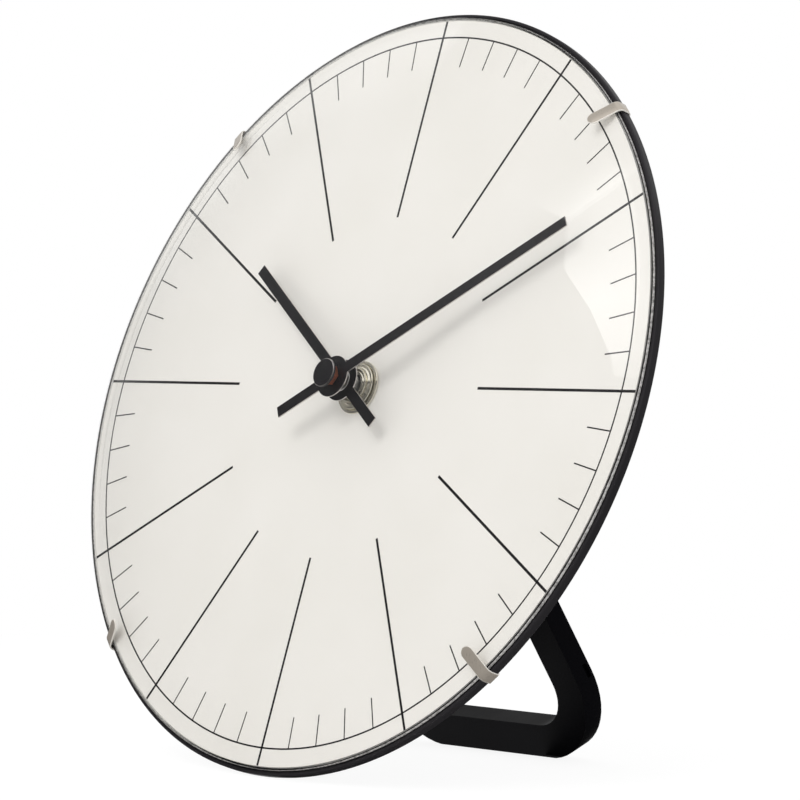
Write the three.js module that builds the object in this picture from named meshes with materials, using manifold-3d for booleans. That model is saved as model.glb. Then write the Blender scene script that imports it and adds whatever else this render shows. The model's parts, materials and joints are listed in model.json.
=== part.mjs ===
// Table clock with a dome glass, a quartz movement and a hinged loop stand. Millimetres, +Z up.
// The clock is drawn in its own frame: x to the right, y up along the dial and z out of the dial,
// with z = 0 on the dial's flat front face. The whole is then leaned back and set on the table.
import * as THREE from 'three';
import { mergeVertices } from 'three/addons/utils/BufferGeometryUtils.js';
import Module from 'manifold-3d';

const wasm = await Module();
wasm.setup();

// Clearance between neighbouring pieces, and small breaks on turned edges
const gap = 0.3;
const edgeBreak = 0.3;
const washerBreak = 0.2;
const softBreak = 0.4;

// How far fused shapes run into each other, and how far cutters run past a face
const bite = 0.2;
const past = 1;

// Posture on the table
const clockLean = THREE.MathUtils.degToRad(18.95);
const standLean = THREE.MathUtils.degToRad(22);

// Case: a pressed round dish with its skirt turned back
const caseRadius = 100.9;
const caseDepth = 2.35;
const caseWall = 1.2;
const caseEdgeRound = 0.4;
const bigRoundSteps = 64;
const washerSteps = 36;
const bossSteps = 32;
const capSteps = 28;
const wheelSteps = 24;
const arborSteps = 10;
const rodSteps = 16;
const thinRodSteps = 12;

// Dial: a printed disc, drawn in a little round its centre
const dialThickness = 0.25;
const dishDepth = 1.8;
const dishOuterRadius = 44;
const dishInnerRadius = 9;
const dishSteps = 3;

// Dome glass with a ground lip that stands round the dial
const glassEdgeInset = 1;
const glassLipWidth = 0.7;
const glassThickness = 1.5;
const glassEdgeTop = 1.15;
const glassRise = 24.5;
const glassArcSteps = 7;

// Glass clips: bent spring strips over the rim
const clipCount = 4;
const clipWidth = 3.4;
const clipStrip = 0.6;
const clipTipInset = 7.5;
const clipOuterBend = 2;
const clipLowerBend = 1;
const clipHookHeight = 0.3;
const clipTurn = THREE.MathUtils.degToRad(0.75);
const bendSteps = 5;
const clipTipSteps = 20;

// Centre stack on the dial
const bushingOuter = 3.9;
const bushingWall = 0.9;
const bushingEnd = 0.9;
const bushingFlangeRadius = 6;
const bushingFlangeThickness = 1.3;
const flangeWasherRadius = 7;
const flangeWasherThickness = 0.5;
const centreNutRadius = 6;
const centreNutStepRadius = 4.6;
const centreNutBase = 0.5;
const centreNutHeight = 1.5;
const rubberWasherRadius = 9;
const rubberWasherThickness = 1;

// Pipes and arbors on the centre
const secondsArborRadius = 0.7;
const minutePipeWall = 0.7;
const hourPipeWall = 0.7;

// Hands, with the angles of about nine past ten
const handThickness = 0.4;
const hourHandLevel = 4.3;
const hourHandLength = 52.2;
const hourHandTail = 18.9;
const hourHandWidth = 2.9;
const minuteHandLevel = 7.5;
const minuteHandTipInset = 18.3;
const minuteHandTail = 20;
const minuteHandWidth = 3;
const minuteHandTipWidth = 2.7;
const handBossRadius = 5.4;
const minuteAngle = THREE.MathUtils.degToRad(60.25);
const tenHours = THREE.MathUtils.degToRad(300);
const hoursPerTurn = 12;
const hourAngle = tenHours + minuteAngle / hoursPerTurn;
const minuteNutAcrossCorners = 5.6;
const minuteNutHeight = 1.2;
const nutSides = 6;
const capRadius = 3.73;
const capThickness = 0.85;
const capFace = 11.05;
const capStemRadius = 1.6;

// Movement housing: square, split into a front and a rear shell
const movementDepth = 16;
const movementCorner = 4;
const housingCornerSteps = 3;
const shellWall = 1.2;
const frontShellDepth = 6.5;
const batteryLength = 49;
const batteryEndRoom = 3.5;
const batteryNub = 1.3;
const batteryNubRadius = 2.7;
const batteryRadius = 7.15;
const contactThickness = 0.4;
const contactHalfSide = 6.15;
const leafHalf = 4;
const leafStrip = 1.2;
const postRadius = 1.6;
const postInset = 3.3;
const trainPlateThickness = 1;

// Gear train: tooth counts, sizes and layers
const finePitch = 0.2456;
const coarsePitch = 0.5;
const toothDepth = 0.35;
const wheelThickness = 0.7;
const settingWheelThickness = 1;
const arborRadius = 0.5;
const settingArborRadius = 0.9;
const cannonTeeth = 10;
const motionTeeth = 30;
const motionPinionTeeth = 8;
const hourTeeth = 32;
const pinionTeeth = 8;
const thirdTeeth = 60;
const centreTeeth = 64;
const secondsTeeth = 60;
const intermediateTeeth = 32;
const motionDirection = THREE.MathUtils.degToRad(100);
const thirdDirection = THREE.MathUtils.degToRad(20);
const intermediateDirection = THREE.MathUtils.degToRad(150);
const rotorDirection = THREE.MathUtils.degToRad(180);
const magnetRadius = 1.7;
const magnetLength = 1.8;
const knobRadius = 5;
const knobHeight = 2.5;
const knobRibs = 12;

// Stator, coil and circuit board
const statorThickness = 0.8;
const statorBar = 3;
const statorSide = 1.6;
const statorHead = 2.4;
const statorWidth = 14.3;
const statorHeight = 23.5;
const coilRadius = 2.7;
const coilLength = 10.5;
const boardWidth = 20;
const boardHeight = 12;
const boardThickness = 0.8;
const crystalRadius = 1.2;
const crystalLength = 7;
const crystalInset = 5;

// Stand: a flat bar bent into a rounded loop, with a tongue on a hinge
const standThickness = 6.2;
const standBar = 9.2;
const standBaseHalf = 43.8;
const standLegLean = THREE.MathUtils.degToRad(14.6);
const standTopDrop = 11;
const standCorner = 19.2;
const standTopCorner = 12;
const standFootCut = 0.2;
const tongueHalfWidth = 7.7;
const legSlotRise = 24.8;
const legSlotLength = 3.6;
const legSlotWidth = 1.4;
const legSlotDepth = 1.2;
const legSlotSetback = 4;
const cornerSteps = 7;

// Hinge bracket on the rear shell
const hingeDrop = 10.3;
const hingeStandoff = 5.7;
const hingePinRadius = 1.5;
const hingePinHeadRadius = 2.5;
const hingePinHead = 1;
const bracketPlate = 1.2;
const bracketEar = 1.5;
const bracketHalfWidth = 17;
const bracketTop = 3.5;
const bracketBottom = -8.5;
const bracketEarRadius = 3.4;
const screwRadius = 1.2;
const screwHeadRadius = 2.2;
const screwHead = 1.1;
const screwSlot = 0.6;
const screwSpacing = 26;
const screwHeight = -2.5;
const screwDepth = 4.2;
const bossWall = 1.1;
const bossHeight = 3.1;

// Levels worked out from the sizes above
const dialBack = -dialThickness;
const caseFront = dialBack - gap;
const caseRear = caseFront - caseDepth;
const glassEdgeRadius = caseRadius - glassEdgeInset;
const dialRadius = glassEdgeRadius - glassLipWidth - gap;
const minuteHandLength = dialRadius - minuteHandTipInset;
const glassBottom = caseFront + gap;
const glassSphere = (glassEdgeRadius ** 2 + glassRise ** 2) / (2 * glassRise);
const glassCentre = glassEdgeTop + glassRise - glassSphere;
const centreHoleRadius = bushingOuter + gap;
const skirtInner = caseRadius - caseWall;
const movementFront = caseFront - dishDepth - caseWall - gap - rubberWasherThickness - gap;
const frontWallInner = movementFront - shellWall;
const shellSplit = movementFront - frontShellDepth;
const movementRear = movementFront - movementDepth;
const rearWallInner = movementRear + shellWall;
const movementSide = batteryLength + 2 * batteryEndRoom;
const halfSide = movementSide / 2;
const innerHalf = halfSide - shellWall;
const batteryAxisY = -innerHalf + gap + batteryRadius;
const batteryAxisZ = frontWallInner - gap - batteryRadius;
const dividerLow = batteryAxisY + batteryRadius + gap;
const dividerHigh = dividerLow + shellWall;
const minutePipeInner = secondsArborRadius + gap;
const minutePipeOuter = minutePipeInner + minutePipeWall;
const hourPipeInner = minutePipeOuter + gap;
const hourPipeOuter = hourPipeInner + hourPipeWall;
const bushingInner = bushingOuter - bushingWall;
const trainPlateFront = shellSplit - gap;
const trainPlateRear = trainPlateFront - trainPlateThickness;

// Turned and cut shapes

const weldDistance = 1e-4;

function solidOf(geometry) {
  const bare = geometry.clone();
  bare.deleteAttribute('normal');
  bare.deleteAttribute('uv');
  const merged = mergeVertices(bare, weldDistance);
  const mesh = new wasm.Mesh({
    numProp: 3,
    vertProperties: new Float32Array(merged.attributes.position.array),
    triVerts: new Uint32Array(merged.index.array),
  });
  mesh.merge();
  return new wasm.Manifold(mesh);
}

function geometryOf(solid) {
  const mesh = solid.getMesh();
  const geometry = new THREE.BufferGeometry();
  geometry.setAttribute('position', new THREE.BufferAttribute(new Float32Array(mesh.vertProperties), 3));
  geometry.setIndex(new THREE.BufferAttribute(new Uint32Array(mesh.triVerts), 1));
  geometry.computeVertexNormals();
  return geometry;
}

function joined(...solids) {
  return solids.reduce((whole, next) => whole.add(next));
}

function without(solid, ...cutters) {
  return cutters.reduce((whole, next) => whole.subtract(next), solid);
}

// A profile of [radius, height] points turned about the z axis
function turned(profile, steps = wheelSteps) {
  let area = 0;
  profile.forEach(([r, z], i) => {
    const [r2, z2] = profile[(i + 1) % profile.length];
    area += r * z2 - r2 * z;
  });
  const outward = area > 0 ? profile : [...profile].reverse();
  const closed = outward[0][0] === 0 && outward.at(-1)[0] === 0 ? outward : [...outward, outward[0]];
  const points = closed.map(([r, z]) => new THREE.Vector2(r, z));
  return solidOf(new THREE.LatheGeometry(points, steps).rotateX(Math.PI / 2));
}

function rod(radius, low, high, steps = rodSteps) {
  return turned([[0, low], [radius, low], [radius, high], [0, high]], steps);
}

function ring(inner, outer, low, high, steps = wheelSteps) {
  return turned([[inner, low], [outer, low], [outer, high], [inner, high]], steps);
}

function rodAt(x, y, radius, low, high, steps = rodSteps) {
  return rod(radius, low, high, steps).translate([x, y, 0]);
}

// Turns that lay a z axis along x, stand it along -y, or put a side outline across x
const toSide = [0, 90, 0];
const toUp = [90, 0, 0];
const profileToSide = [90, 0, 90];

// A flat outline raised along z from low to high
function raised(shape, low, high, steps = cornerSteps) {
  const settings = { depth: high - low, bevelEnabled: false, curveSegments: steps };
  return solidOf(new THREE.ExtrudeGeometry(shape, settings).translate(0, 0, low));
}

function block(x0, x1, y0, y1, z0, z1) {
  const box = new THREE.BoxGeometry(x1 - x0, y1 - y0, z1 - z0);
  box.translate((x0 + x1) / 2, (y0 + y1) / 2, (z0 + z1) / 2);
  return solidOf(box);
}

function polygonShape(points) {
  return new THREE.Shape(points.map(([x, y]) => new THREE.Vector2(x, y)));
}

// A counter-clockwise polygon with each corner rounded to its own radius
function roundedShape(points, radii) {
  const shape = new THREE.Shape();
  points.forEach((point, i) => {
    const corner = new THREE.Vector2(...point);
    const before = new THREE.Vector2(...points.at(i - 1)).sub(corner).normalize();
    const after = new THREE.Vector2(...points[(i + 1) % points.length]).sub(corner).normalize();
    const half = Math.acos(THREE.MathUtils.clamp(before.dot(after), -1, 1)) / 2;
    const run = radii[i] / Math.tan(half);
    const start = corner.clone().addScaledVector(before, run);
    const middle = before.clone().add(after).normalize().multiplyScalar(radii[i] / Math.sin(half));
    const centre = corner.clone().add(middle);
    const end = corner.clone().addScaledVector(after, run);
    const from = Math.atan2(start.y - centre.y, start.x - centre.x);
    const to = Math.atan2(end.y - centre.y, end.x - centre.x);
    shape.absarc(centre.x, centre.y, radii[i], from, to, false);
  });
  return shape;
}

// A toothed disc about the z axis, its tips kept half a gap inside the pitch circle
function gear(pitch, teeth, low, high) {
  const tip = pitch - gap / 2;
  const points = [];
  for (let i = 0; i < teeth * 2; i += 1) {
    const angle = (i / teeth) * Math.PI;
    const radius = i % 2 === 0 ? tip : tip - toothDepth;
    points.push([radius * Math.cos(angle), radius * Math.sin(angle)]);
  }
  return raised(polygonShape(points), low, high);
}

function pitchRadius(teeth, pitch) {
  return (teeth * pitch) / 2;
}

// Height of the drawn-in centre of dial and case below their flat part
function dishProfile(level) {
  const points = [[dishInnerRadius, level - dishDepth]];
  for (let i = 1; i < dishSteps; i += 1) {
    const share = i / dishSteps;
    const radius = dishInnerRadius + share * (dishOuterRadius - dishInnerRadius);
    points.push([radius, level - dishDepth * (1 + Math.cos(share * Math.PI)) / 2]);
  }
  points.push([dishOuterRadius, level]);
  return points;
}

// Case, dial and glass

// How far the middle of a quarter round stays short of its sharp corner, as a share of the radius
const roundMiddle = 1 - Math.SQRT1_2;

function makeCase() {
  const round = caseEdgeRound;
  const middle = caseEdgeRound * roundMiddle;
  const profile = [
    [centreHoleRadius, caseFront - dishDepth],
    ...dishProfile(caseFront),
    [caseRadius - round, caseFront],
    [caseRadius - middle, caseFront - middle],
    [caseRadius, caseFront - round],
    [caseRadius, caseRear + round],
    [caseRadius - middle, caseRear + middle],
    [caseRadius - round, caseRear],
    [skirtInner + softBreak, caseRear],
    [skirtInner, caseRear + softBreak],
    [skirtInner, caseFront - caseWall],
    ...dishProfile(caseFront - caseWall).reverse(),
    [centreHoleRadius, caseFront - dishDepth - caseWall],
  ];
  return turned(profile, bigRoundSteps);
}

function makeDial() {
  const profile = [
    [centreHoleRadius, -dishDepth],
    ...dishProfile(0),
    [dialRadius, 0],
    [dialRadius, dialBack],
    ...dishProfile(dialBack).reverse(),
    [centreHoleRadius, dialBack - dishDepth],
  ];
  return turned(profile, bigRoundSteps);
}

function arcProfile(radius, reach, steps) {
  const span = Math.asin(reach / radius);
  const points = [];
  for (let i = 0; i <= steps; i += 1) {
    const angle = (i / steps) * span;
    points.push([radius * Math.sin(angle), glassCentre + radius * Math.cos(angle)]);
  }
  return points;
}

function makeGlass() {
  const innerSphere = glassSphere - glassThickness;
  const landLevel = gap;
  const landReach = Math.sqrt(innerSphere ** 2 - (landLevel - glassCentre) ** 2);
  const lipInner = glassEdgeRadius - glassLipWidth;
  const profile = [
    ...arcProfile(glassSphere, glassEdgeRadius, glassArcSteps),
    [glassEdgeRadius, glassBottom],
    [lipInner, glassBottom],
    [lipInner, landLevel],
    ...arcProfile(innerSphere, landReach, glassArcSteps).reverse(),
  ];
  return turned(profile, bigRoundSteps);
}

// Glass clips

function bendPoints(centre, radius, from, to) {
  const points = [];
  for (let i = 0; i <= bendSteps; i += 1) {
    const angle = from + (i / bendSteps) * (to - from);
    points.push(new THREE.Vector2(centre.x + radius * Math.cos(angle), centre.y + radius * Math.sin(angle)));
  }
  return points;
}

// The strip's centre line in the plane of radius and height
function clipLine() {
  const seatRadius = caseRadius - clipTipInset / 2;
  const slope = Math.asin(seatRadius / glassSphere);
  const lift = gap + clipStrip / 2;
  const outward = new THREE.Vector2(Math.sin(slope), Math.cos(slope));
  const seatHeight = glassCentre + glassSphere * Math.cos(slope);
  const seat = new THREE.Vector2(seatRadius, seatHeight).addScaledVector(outward, lift);
  const along = new THREE.Vector2(Math.cos(slope), -Math.sin(slope));
  const tip = seat.clone().addScaledVector(along, -(clipTipInset / 2) / Math.cos(slope));
  const side = caseRadius + gap + clipStrip / 2;
  const bendX = side - clipOuterBend + outward.x * clipOuterBend;
  const bendStart = seat.clone().addScaledVector(along, (bendX - seat.x) / along.x);
  const outer = bendStart.clone().addScaledVector(outward, -clipOuterBend);
  const floor = caseRear - gap - clipStrip / 2;
  const lower = new THREE.Vector2(side - clipLowerBend, floor + clipLowerBend);
  const hookX = skirtInner - gap - clipStrip / 2;
  const inner = new THREE.Vector2(hookX + clipLowerBend, floor + clipLowerBend);
  return [
    tip,
    ...bendPoints(outer, clipOuterBend, Math.PI / 2 - slope, 0),
    ...bendPoints(lower, clipLowerBend, 0, -Math.PI / 2),
    ...bendPoints(inner, clipLowerBend, -Math.PI / 2, -Math.PI),
    new THREE.Vector2(hookX, floor + clipLowerBend + clipHookHeight),
  ];
}

// A line thickened to a strip: both sides in one closed outline
function stripOutline(line, thickness) {
  const left = [];
  const right = [];
  line.forEach((point, i) => {
    const before = line[Math.max(i - 1, 0)];
    const after = line[Math.min(i + 1, line.length - 1)];
    const along = after.clone().sub(before).normalize();
    const normal = new THREE.Vector2(-along.y, along.x).multiplyScalar(thickness / 2);
    left.push(point.clone().add(normal));
    right.push(point.clone().sub(normal));
  });
  return new THREE.Shape([...left, ...right.reverse()]);
}

function makeClip() {
  const line = clipLine();
  const settings = { depth: clipWidth, bevelEnabled: false };
  const strip = new THREE.ExtrudeGeometry(stripOutline(line, clipStrip), settings);
  strip.translate(0, 0, -clipWidth / 2).rotateX(Math.PI / 2);
  const tipCentre = line[0].x + clipWidth / 2;
  const far = caseRadius + clipOuterBend + past;
  const low = caseRear - clipOuterBend;
  const plan = joined(
    rodAt(tipCentre, 0, clipWidth / 2, low, glassRise, clipTipSteps),
    block(tipCentre, far, -clipWidth, clipWidth, low, glassRise),
  );
  return solidOf(strip).intersect(plan);
}

// Centre stack

function makeBushing() {
  const flangeFront = frontWallInner - gap;
  const flangeRear = flangeFront - bushingFlangeThickness;
  const profile = [
    [bushingInner, flangeRear],
    [bushingFlangeRadius, flangeRear],
    [bushingFlangeRadius, flangeFront],
    [bushingOuter, flangeFront],
    [bushingOuter, bushingEnd],
    [bushingInner, bushingEnd],
  ];
  return turned(profile);
}

function makeFlangeWasher() {
  const low = -dishDepth + gap;
  const high = low + flangeWasherThickness;
  const profile = [
    [centreHoleRadius, low],
    [flangeWasherRadius, low],
    [flangeWasherRadius, high - washerBreak],
    [flangeWasherRadius - edgeBreak, high],
    [centreHoleRadius, high],
  ];
  return turned(profile, washerSteps);
}

function makeCentreNut() {
  const low = -dishDepth + gap + flangeWasherThickness + gap;
  const profile = [
    [centreHoleRadius, low],
    [centreNutRadius, low],
    [centreNutRadius, low + centreNutBase],
    [centreNutStepRadius + edgeBreak, low + centreNutBase + edgeBreak],
    [centreNutStepRadius, low + centreNutHeight - edgeBreak],
    [centreNutStepRadius - washerBreak, low + centreNutHeight],
    [centreHoleRadius, low + centreNutHeight],
  ];
  return turned(profile, washerSteps);
}

function makeRubberWasher() {
  const high = movementFront + gap + rubberWasherThickness;
  return ring(centreHoleRadius, rubberWasherRadius, movementFront + gap, high);
}

// Hands

function makeHand(length, tail, width, tipWidth, pipe, low) {
  const bar = polygonShape([
    [-width / 2, -tail],
    [width / 2, -tail],
    [width / 2, 0],
    [tipWidth / 2, length],
    [-tipWidth / 2, length],
    [-width / 2, 0],
  ]);
  const high = low + handThickness;
  const plate = joined(raised(bar, low, high), rod(handBossRadius, low, high, bossSteps));
  return without(plate, rod(pipe + gap, low - past, high + past));
}

function makeMinuteNut() {
  const low = minuteHandLevel + handThickness + gap;
  const high = low + minuteNutHeight;
  const hexagon = rod(minuteNutAcrossCorners / 2, low, high, nutSides);
  return without(hexagon, rod(minutePipeOuter + gap, low - past, high + past));
}

function makeCap() {
  const bore = secondsArborRadius + gap;
  const rear = capFace - capThickness;
  const stemEnd = minuteHandLevel + handThickness + gap + minuteNutHeight + gap;
  const profile = [
    [0, capFace],
    [0, rear + bite],
    [bore, rear + bite],
    [bore, stemEnd],
    [capStemRadius, stemEnd],
    [capStemRadius, rear],
    [capRadius, rear],
    [capRadius, capFace - edgeBreak],
    [capRadius - edgeBreak, capFace],
  ];
  return turned(profile, capSteps);
}

// Movement housing

function postPlaces() {
  const reach = innerHalf - postInset;
  const low = dividerHigh + postInset;
  return [[-reach, low], [reach, low], [reach, reach], [-reach, reach]];
}

function housingBlock(low, high) {
  const points = [[-halfSide, -halfSide], [halfSide, -halfSide], [halfSide, halfSide], [-halfSide, halfSide]];
  return raised(roundedShape(points, points.map(() => movementCorner)), low, high, housingCornerSteps);
}

function makeFrontShell() {
  const outer = housingBlock(shellSplit, movementFront);
  const trainBay = block(-innerHalf, innerHalf, dividerHigh, innerHalf, shellSplit - past, frontWallInner);
  const batteryBay = block(-innerHalf, innerHalf, -innerHalf, dividerLow, shellSplit - past, frontWallInner);
  const hole = rod(centreHoleRadius, frontWallInner - past, movementFront + past, wheelSteps);
  const shell = without(outer, trainBay, batteryBay, hole);
  const postFront = frontWallInner + bite;
  const posts = postPlaces().map(([x, y]) => rodAt(x, y, postRadius, shellSplit, postFront, arborSteps));
  return joined(shell, ...posts);
}

function screwPlaces() {
  return [-1, 1].map((side) => [(side * screwSpacing) / 2, screwHeight]);
}

function makeRearShell(motion) {
  const split = shellSplit - gap;
  const outer = housingBlock(movementRear, split);
  const trainBay = block(-innerHalf, innerHalf, dividerHigh, innerHalf, rearWallInner, split + past);
  const batteryBay = block(-innerHalf, innerHalf, -innerHalf, dividerLow, movementRear - past, split + past);
  const shell = without(outer, trainBay, batteryBay);
  const hole = screwRadius + gap;
  const bossFront = rearWallInner + bossHeight;
  const bosses = screwPlaces().map(([x, y]) => rodAt(x, y, hole + bossWall, rearWallInner - bite, bossFront));
  const bores = screwPlaces().map(([x, y]) => rodAt(x, y, hole, movementRear - past, bossFront + past));
  const arborBore = settingArborRadius + gap;
  const arborHole = rodAt(motion.x, motion.y, arborBore, movementRear - past, rearWallInner + past);
  return without(joined(shell, ...bosses), ...bores, arborHole);
}

// Gear train

const centreDistance = pitchRadius(cannonTeeth + motionTeeth, coarsePitch);
const motionPinionPitch = (2 * centreDistance) / (motionPinionTeeth + hourTeeth);
const thirdDistance = pitchRadius(pinionTeeth + centreTeeth, finePitch);
const secondsPinionPitch = (2 * thirdDistance) / (pinionTeeth + thirdTeeth);
const intermediateDistance = pitchRadius(pinionTeeth + secondsTeeth, finePitch);
const rotorDistance = pitchRadius(pinionTeeth + intermediateTeeth, finePitch);

function place(distance, direction, from = new THREE.Vector2(0, 0)) {
  return new THREE.Vector2(from.x + distance * Math.cos(direction), from.y + distance * Math.sin(direction));
}

const motionPlace = place(centreDistance, motionDirection);
const thirdPlace = place(thirdDistance, thirdDirection);
const intermediatePlace = place(intermediateDistance, intermediateDirection);
const rotorPlace = place(rotorDistance, rotorDirection, intermediatePlace);

// Layers, counted back from the bushing's flange
const hourWheelFront = frontWallInner - gap - bushingFlangeThickness - gap;
const hourWheelRear = hourWheelFront - wheelThickness;
const cannonFront = hourWheelRear - 2 * gap;
const cannonRear = cannonFront - settingWheelThickness;
const centreWheelFront = trainPlateRear - gap;
const centreWheelRear = centreWheelFront - wheelThickness;
const minutePipeRear = centreWheelRear - gap;
const thirdWheelFront = minutePipeRear - gap;
const thirdWheelRear = thirdWheelFront - wheelThickness;
const secondsWheelFront = thirdWheelRear - 2 * gap;
const secondsWheelRear = secondsWheelFront - wheelThickness;
const intermediateFront = secondsWheelRear - 2 * gap;
const intermediateRear = intermediateFront - wheelThickness;
const arborRear = rearWallInner + gap;
const settingArborRear = movementRear - knobHeight / 2;

function makeHourWheel() {
  const front = hourHandLevel + handThickness + bite;
  const pipe = rod(hourPipeOuter, hourWheelRear, front);
  const wheel = gear(pitchRadius(hourTeeth, motionPinionPitch), hourTeeth, hourWheelRear, hourWheelFront);
  return without(joined(pipe, wheel), rod(hourPipeInner, hourWheelRear - past, front + past));
}

function makeMinutePipe() {
  const front = minuteHandLevel + handThickness + gap + minuteNutHeight;
  const pipe = rod(minutePipeOuter, minutePipeRear, front);
  const cannon = gear(pitchRadius(cannonTeeth, coarsePitch), cannonTeeth, cannonRear, cannonFront);
  return without(joined(pipe, cannon), rod(minutePipeInner, minutePipeRear - past, front + past));
}

function makeCentreWheel() {
  const wheel = gear(pitchRadius(centreTeeth, finePitch), centreTeeth, centreWheelRear, centreWheelFront);
  return without(wheel, rod(minutePipeOuter + gap, centreWheelRear - past, centreWheelFront + past));
}

function makeSecondsWheel() {
  const arbor = rod(secondsArborRadius, arborRear, capFace - capThickness + bite - gap, thinRodSteps);
  const wheel = gear(pitchRadius(secondsTeeth, finePitch), secondsTeeth, secondsWheelRear, secondsWheelFront);
  const small = pitchRadius(pinionTeeth, secondsPinionPitch);
  const pinion = gear(small, pinionTeeth, secondsWheelFront, thirdWheelFront);
  return joined(arbor, wheel, pinion);
}

function makeThirdWheel() {
  const arbor = rod(arborRadius, arborRear, trainPlateFront - gap, arborSteps);
  const large = pitchRadius(thirdTeeth, secondsPinionPitch);
  const wheel = gear(large, thirdTeeth, thirdWheelRear, thirdWheelFront);
  const pinion = gear(pitchRadius(pinionTeeth, finePitch), pinionTeeth, thirdWheelFront, centreWheelFront);
  return joined(arbor, wheel, pinion);
}

function makeIntermediateWheel() {
  const arbor = rod(arborRadius, arborRear, trainPlateFront - gap, arborSteps);
  const pitch = pitchRadius(intermediateTeeth, finePitch);
  const wheel = gear(pitch, intermediateTeeth, intermediateRear, intermediateFront);
  const pinion = gear(pitchRadius(pinionTeeth, finePitch), pinionTeeth, intermediateFront, secondsWheelFront);
  return joined(arbor, wheel, pinion);
}

function statorLevel() {
  return trainPlateRear - gap - coilRadius;
}

function makeRotor() {
  const arbor = rod(arborRadius, arborRear, trainPlateFront - gap, arborSteps);
  const pinion = gear(pitchRadius(pinionTeeth, finePitch), pinionTeeth, intermediateRear, intermediateFront);
  const middle = statorLevel();
  const magnet = rod(magnetRadius, middle - magnetLength / 2, middle + magnetLength / 2);
  return joined(arbor, pinion, magnet);
}

function makeMotionWheel() {
  const arbor = rod(settingArborRadius, settingArborRear, frontWallInner - gap, thinRodSteps);
  const wheel = gear(pitchRadius(motionTeeth, coarsePitch), motionTeeth, cannonRear, cannonFront);
  const small = pitchRadius(motionPinionTeeth, motionPinionPitch);
  const pinion = gear(small, motionPinionTeeth, cannonFront, hourWheelFront);
  return joined(arbor, wheel, pinion);
}

function makeSettingKnob() {
  const high = movementRear - gap;
  const low = high - knobHeight;
  const knob = gear(knobRadius + gap / 2, knobRibs, low, high);
  const bore = rod(settingArborRadius + gap, settingArborRear - gap, high + past, thinRodSteps);
  return without(knob, bore);
}

function makeTrainPlate() {
  const reach = innerHalf - gap;
  const plate = block(-reach, reach, dividerHigh + gap, reach, trainPlateRear, trainPlateFront);
  const hole = (spot, radius) => rodAt(spot.x, spot.y, radius, trainPlateRear - past, trainPlateFront + past);
  return without(
    plate,
    hole(new THREE.Vector2(0, 0), minutePipeOuter + gap),
    hole(motionPlace, settingArborRadius + gap),
    hole(thirdPlace, arborRadius + gap),
    hole(intermediatePlace, arborRadius + gap),
    hole(rotorPlace, arborRadius + gap),
  );
}

// A rectangular iron loop round the rotor on one side and through the coil on the other
function statorFrame() {
  const right = rotorPlace.x + magnetRadius + gap + statorSide;
  const left = right - statorWidth;
  const low = rotorPlace.y - (magnetRadius + gap + statorHead);
  return { left, right, low, high: low + statorHeight };
}

function makeStator() {
  const { left, right, low, high } = statorFrame();
  const front = statorLevel() + statorThickness / 2;
  const rear = front - statorThickness;
  const windowLow = rotorPlace.y + magnetRadius + gap + statorHead;
  return without(
    block(left, right, low, high, rear, front),
    block(left + statorBar, right - statorBar, windowLow, high - statorBar, rear - past, front + past),
    rodAt(rotorPlace.x, rotorPlace.y, magnetRadius + 2 * gap, rear - past, front + past, wheelSteps),
  );
}

function makeCoil() {
  const { left, high } = statorFrame();
  const bore = Math.hypot(statorBar, statorThickness) / 2 + gap;
  const top = high - statorBar - gap;
  const winding = ring(bore, coilRadius, 0, coilLength, rodSteps).rotate(toUp);
  return winding.translate([left + statorBar / 2, top, statorLevel()]);
}

function boardFrame() {
  const reach = innerHalf - 2 * gap;
  return { left: reach - boardWidth, right: reach, low: reach - boardHeight, high: reach };
}

function makeCircuitBoard() {
  const { left, right, low, high } = boardFrame();
  const front = trainPlateRear - gap;
  return block(left, right, low, high, front - boardThickness, front);
}

function makeCrystal() {
  const { left, low } = boardFrame();
  const level = trainPlateRear - gap - boardThickness - gap - crystalRadius;
  const can = rod(crystalRadius, 0, crystalLength, thinRodSteps).rotate(toSide);
  return can.translate([left + crystalInset, low + boardHeight / 2, level]);
}

// Battery and contacts

function batteryEnds() {
  const positive = innerHalf - gap - contactThickness - gap;
  const shoulder = positive - batteryNub;
  return { positive, shoulder, negative: shoulder - batteryLength };
}

function makeBattery() {
  const { positive, shoulder, negative } = batteryEnds();
  const profile = [
    [0, negative],
    [batteryRadius - softBreak, negative],
    [batteryRadius, negative + softBreak],
    [batteryRadius, shoulder - softBreak],
    [batteryRadius - softBreak, shoulder],
    [batteryNubRadius, shoulder],
    [batteryNubRadius, positive],
    [0, positive],
  ];
  return turned(profile).rotate(toSide).translate([0, batteryAxisY, batteryAxisZ]);
}

function contactPlate(x0, x1) {
  const half = contactHalfSide;
  return block(x0, x1, batteryAxisY - half, batteryAxisY + half, batteryAxisZ - half, batteryAxisZ + half);
}

function makePositiveContact() {
  const outer = innerHalf - gap;
  return contactPlate(outer - contactThickness, outer);
}

// The negative contact is a strip folded towards the battery's flat end
function makeNegativeContact() {
  const outer = -innerHalf + gap;
  const inner = outer + contactThickness;
  const reach = batteryEnds().negative - gap;
  const foot = inner - bite;
  const leaf = polygonShape([
    [foot, batteryAxisY - leafHalf],
    [reach, batteryAxisY],
    [foot, batteryAxisY + leafHalf],
    [foot, batteryAxisY + leafHalf - leafStrip],
    [reach - contactThickness, batteryAxisY],
    [foot, batteryAxisY - leafHalf + leafStrip],
  ]);
  const half = batteryNubRadius;
  return joined(contactPlate(outer, inner), raised(leaf, batteryAxisZ - half, batteryAxisZ + half));
}

// Hinge bracket, pin and screws

const hingeY = -hingeDrop;
const hingeZ = movementRear - hingeStandoff;

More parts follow.
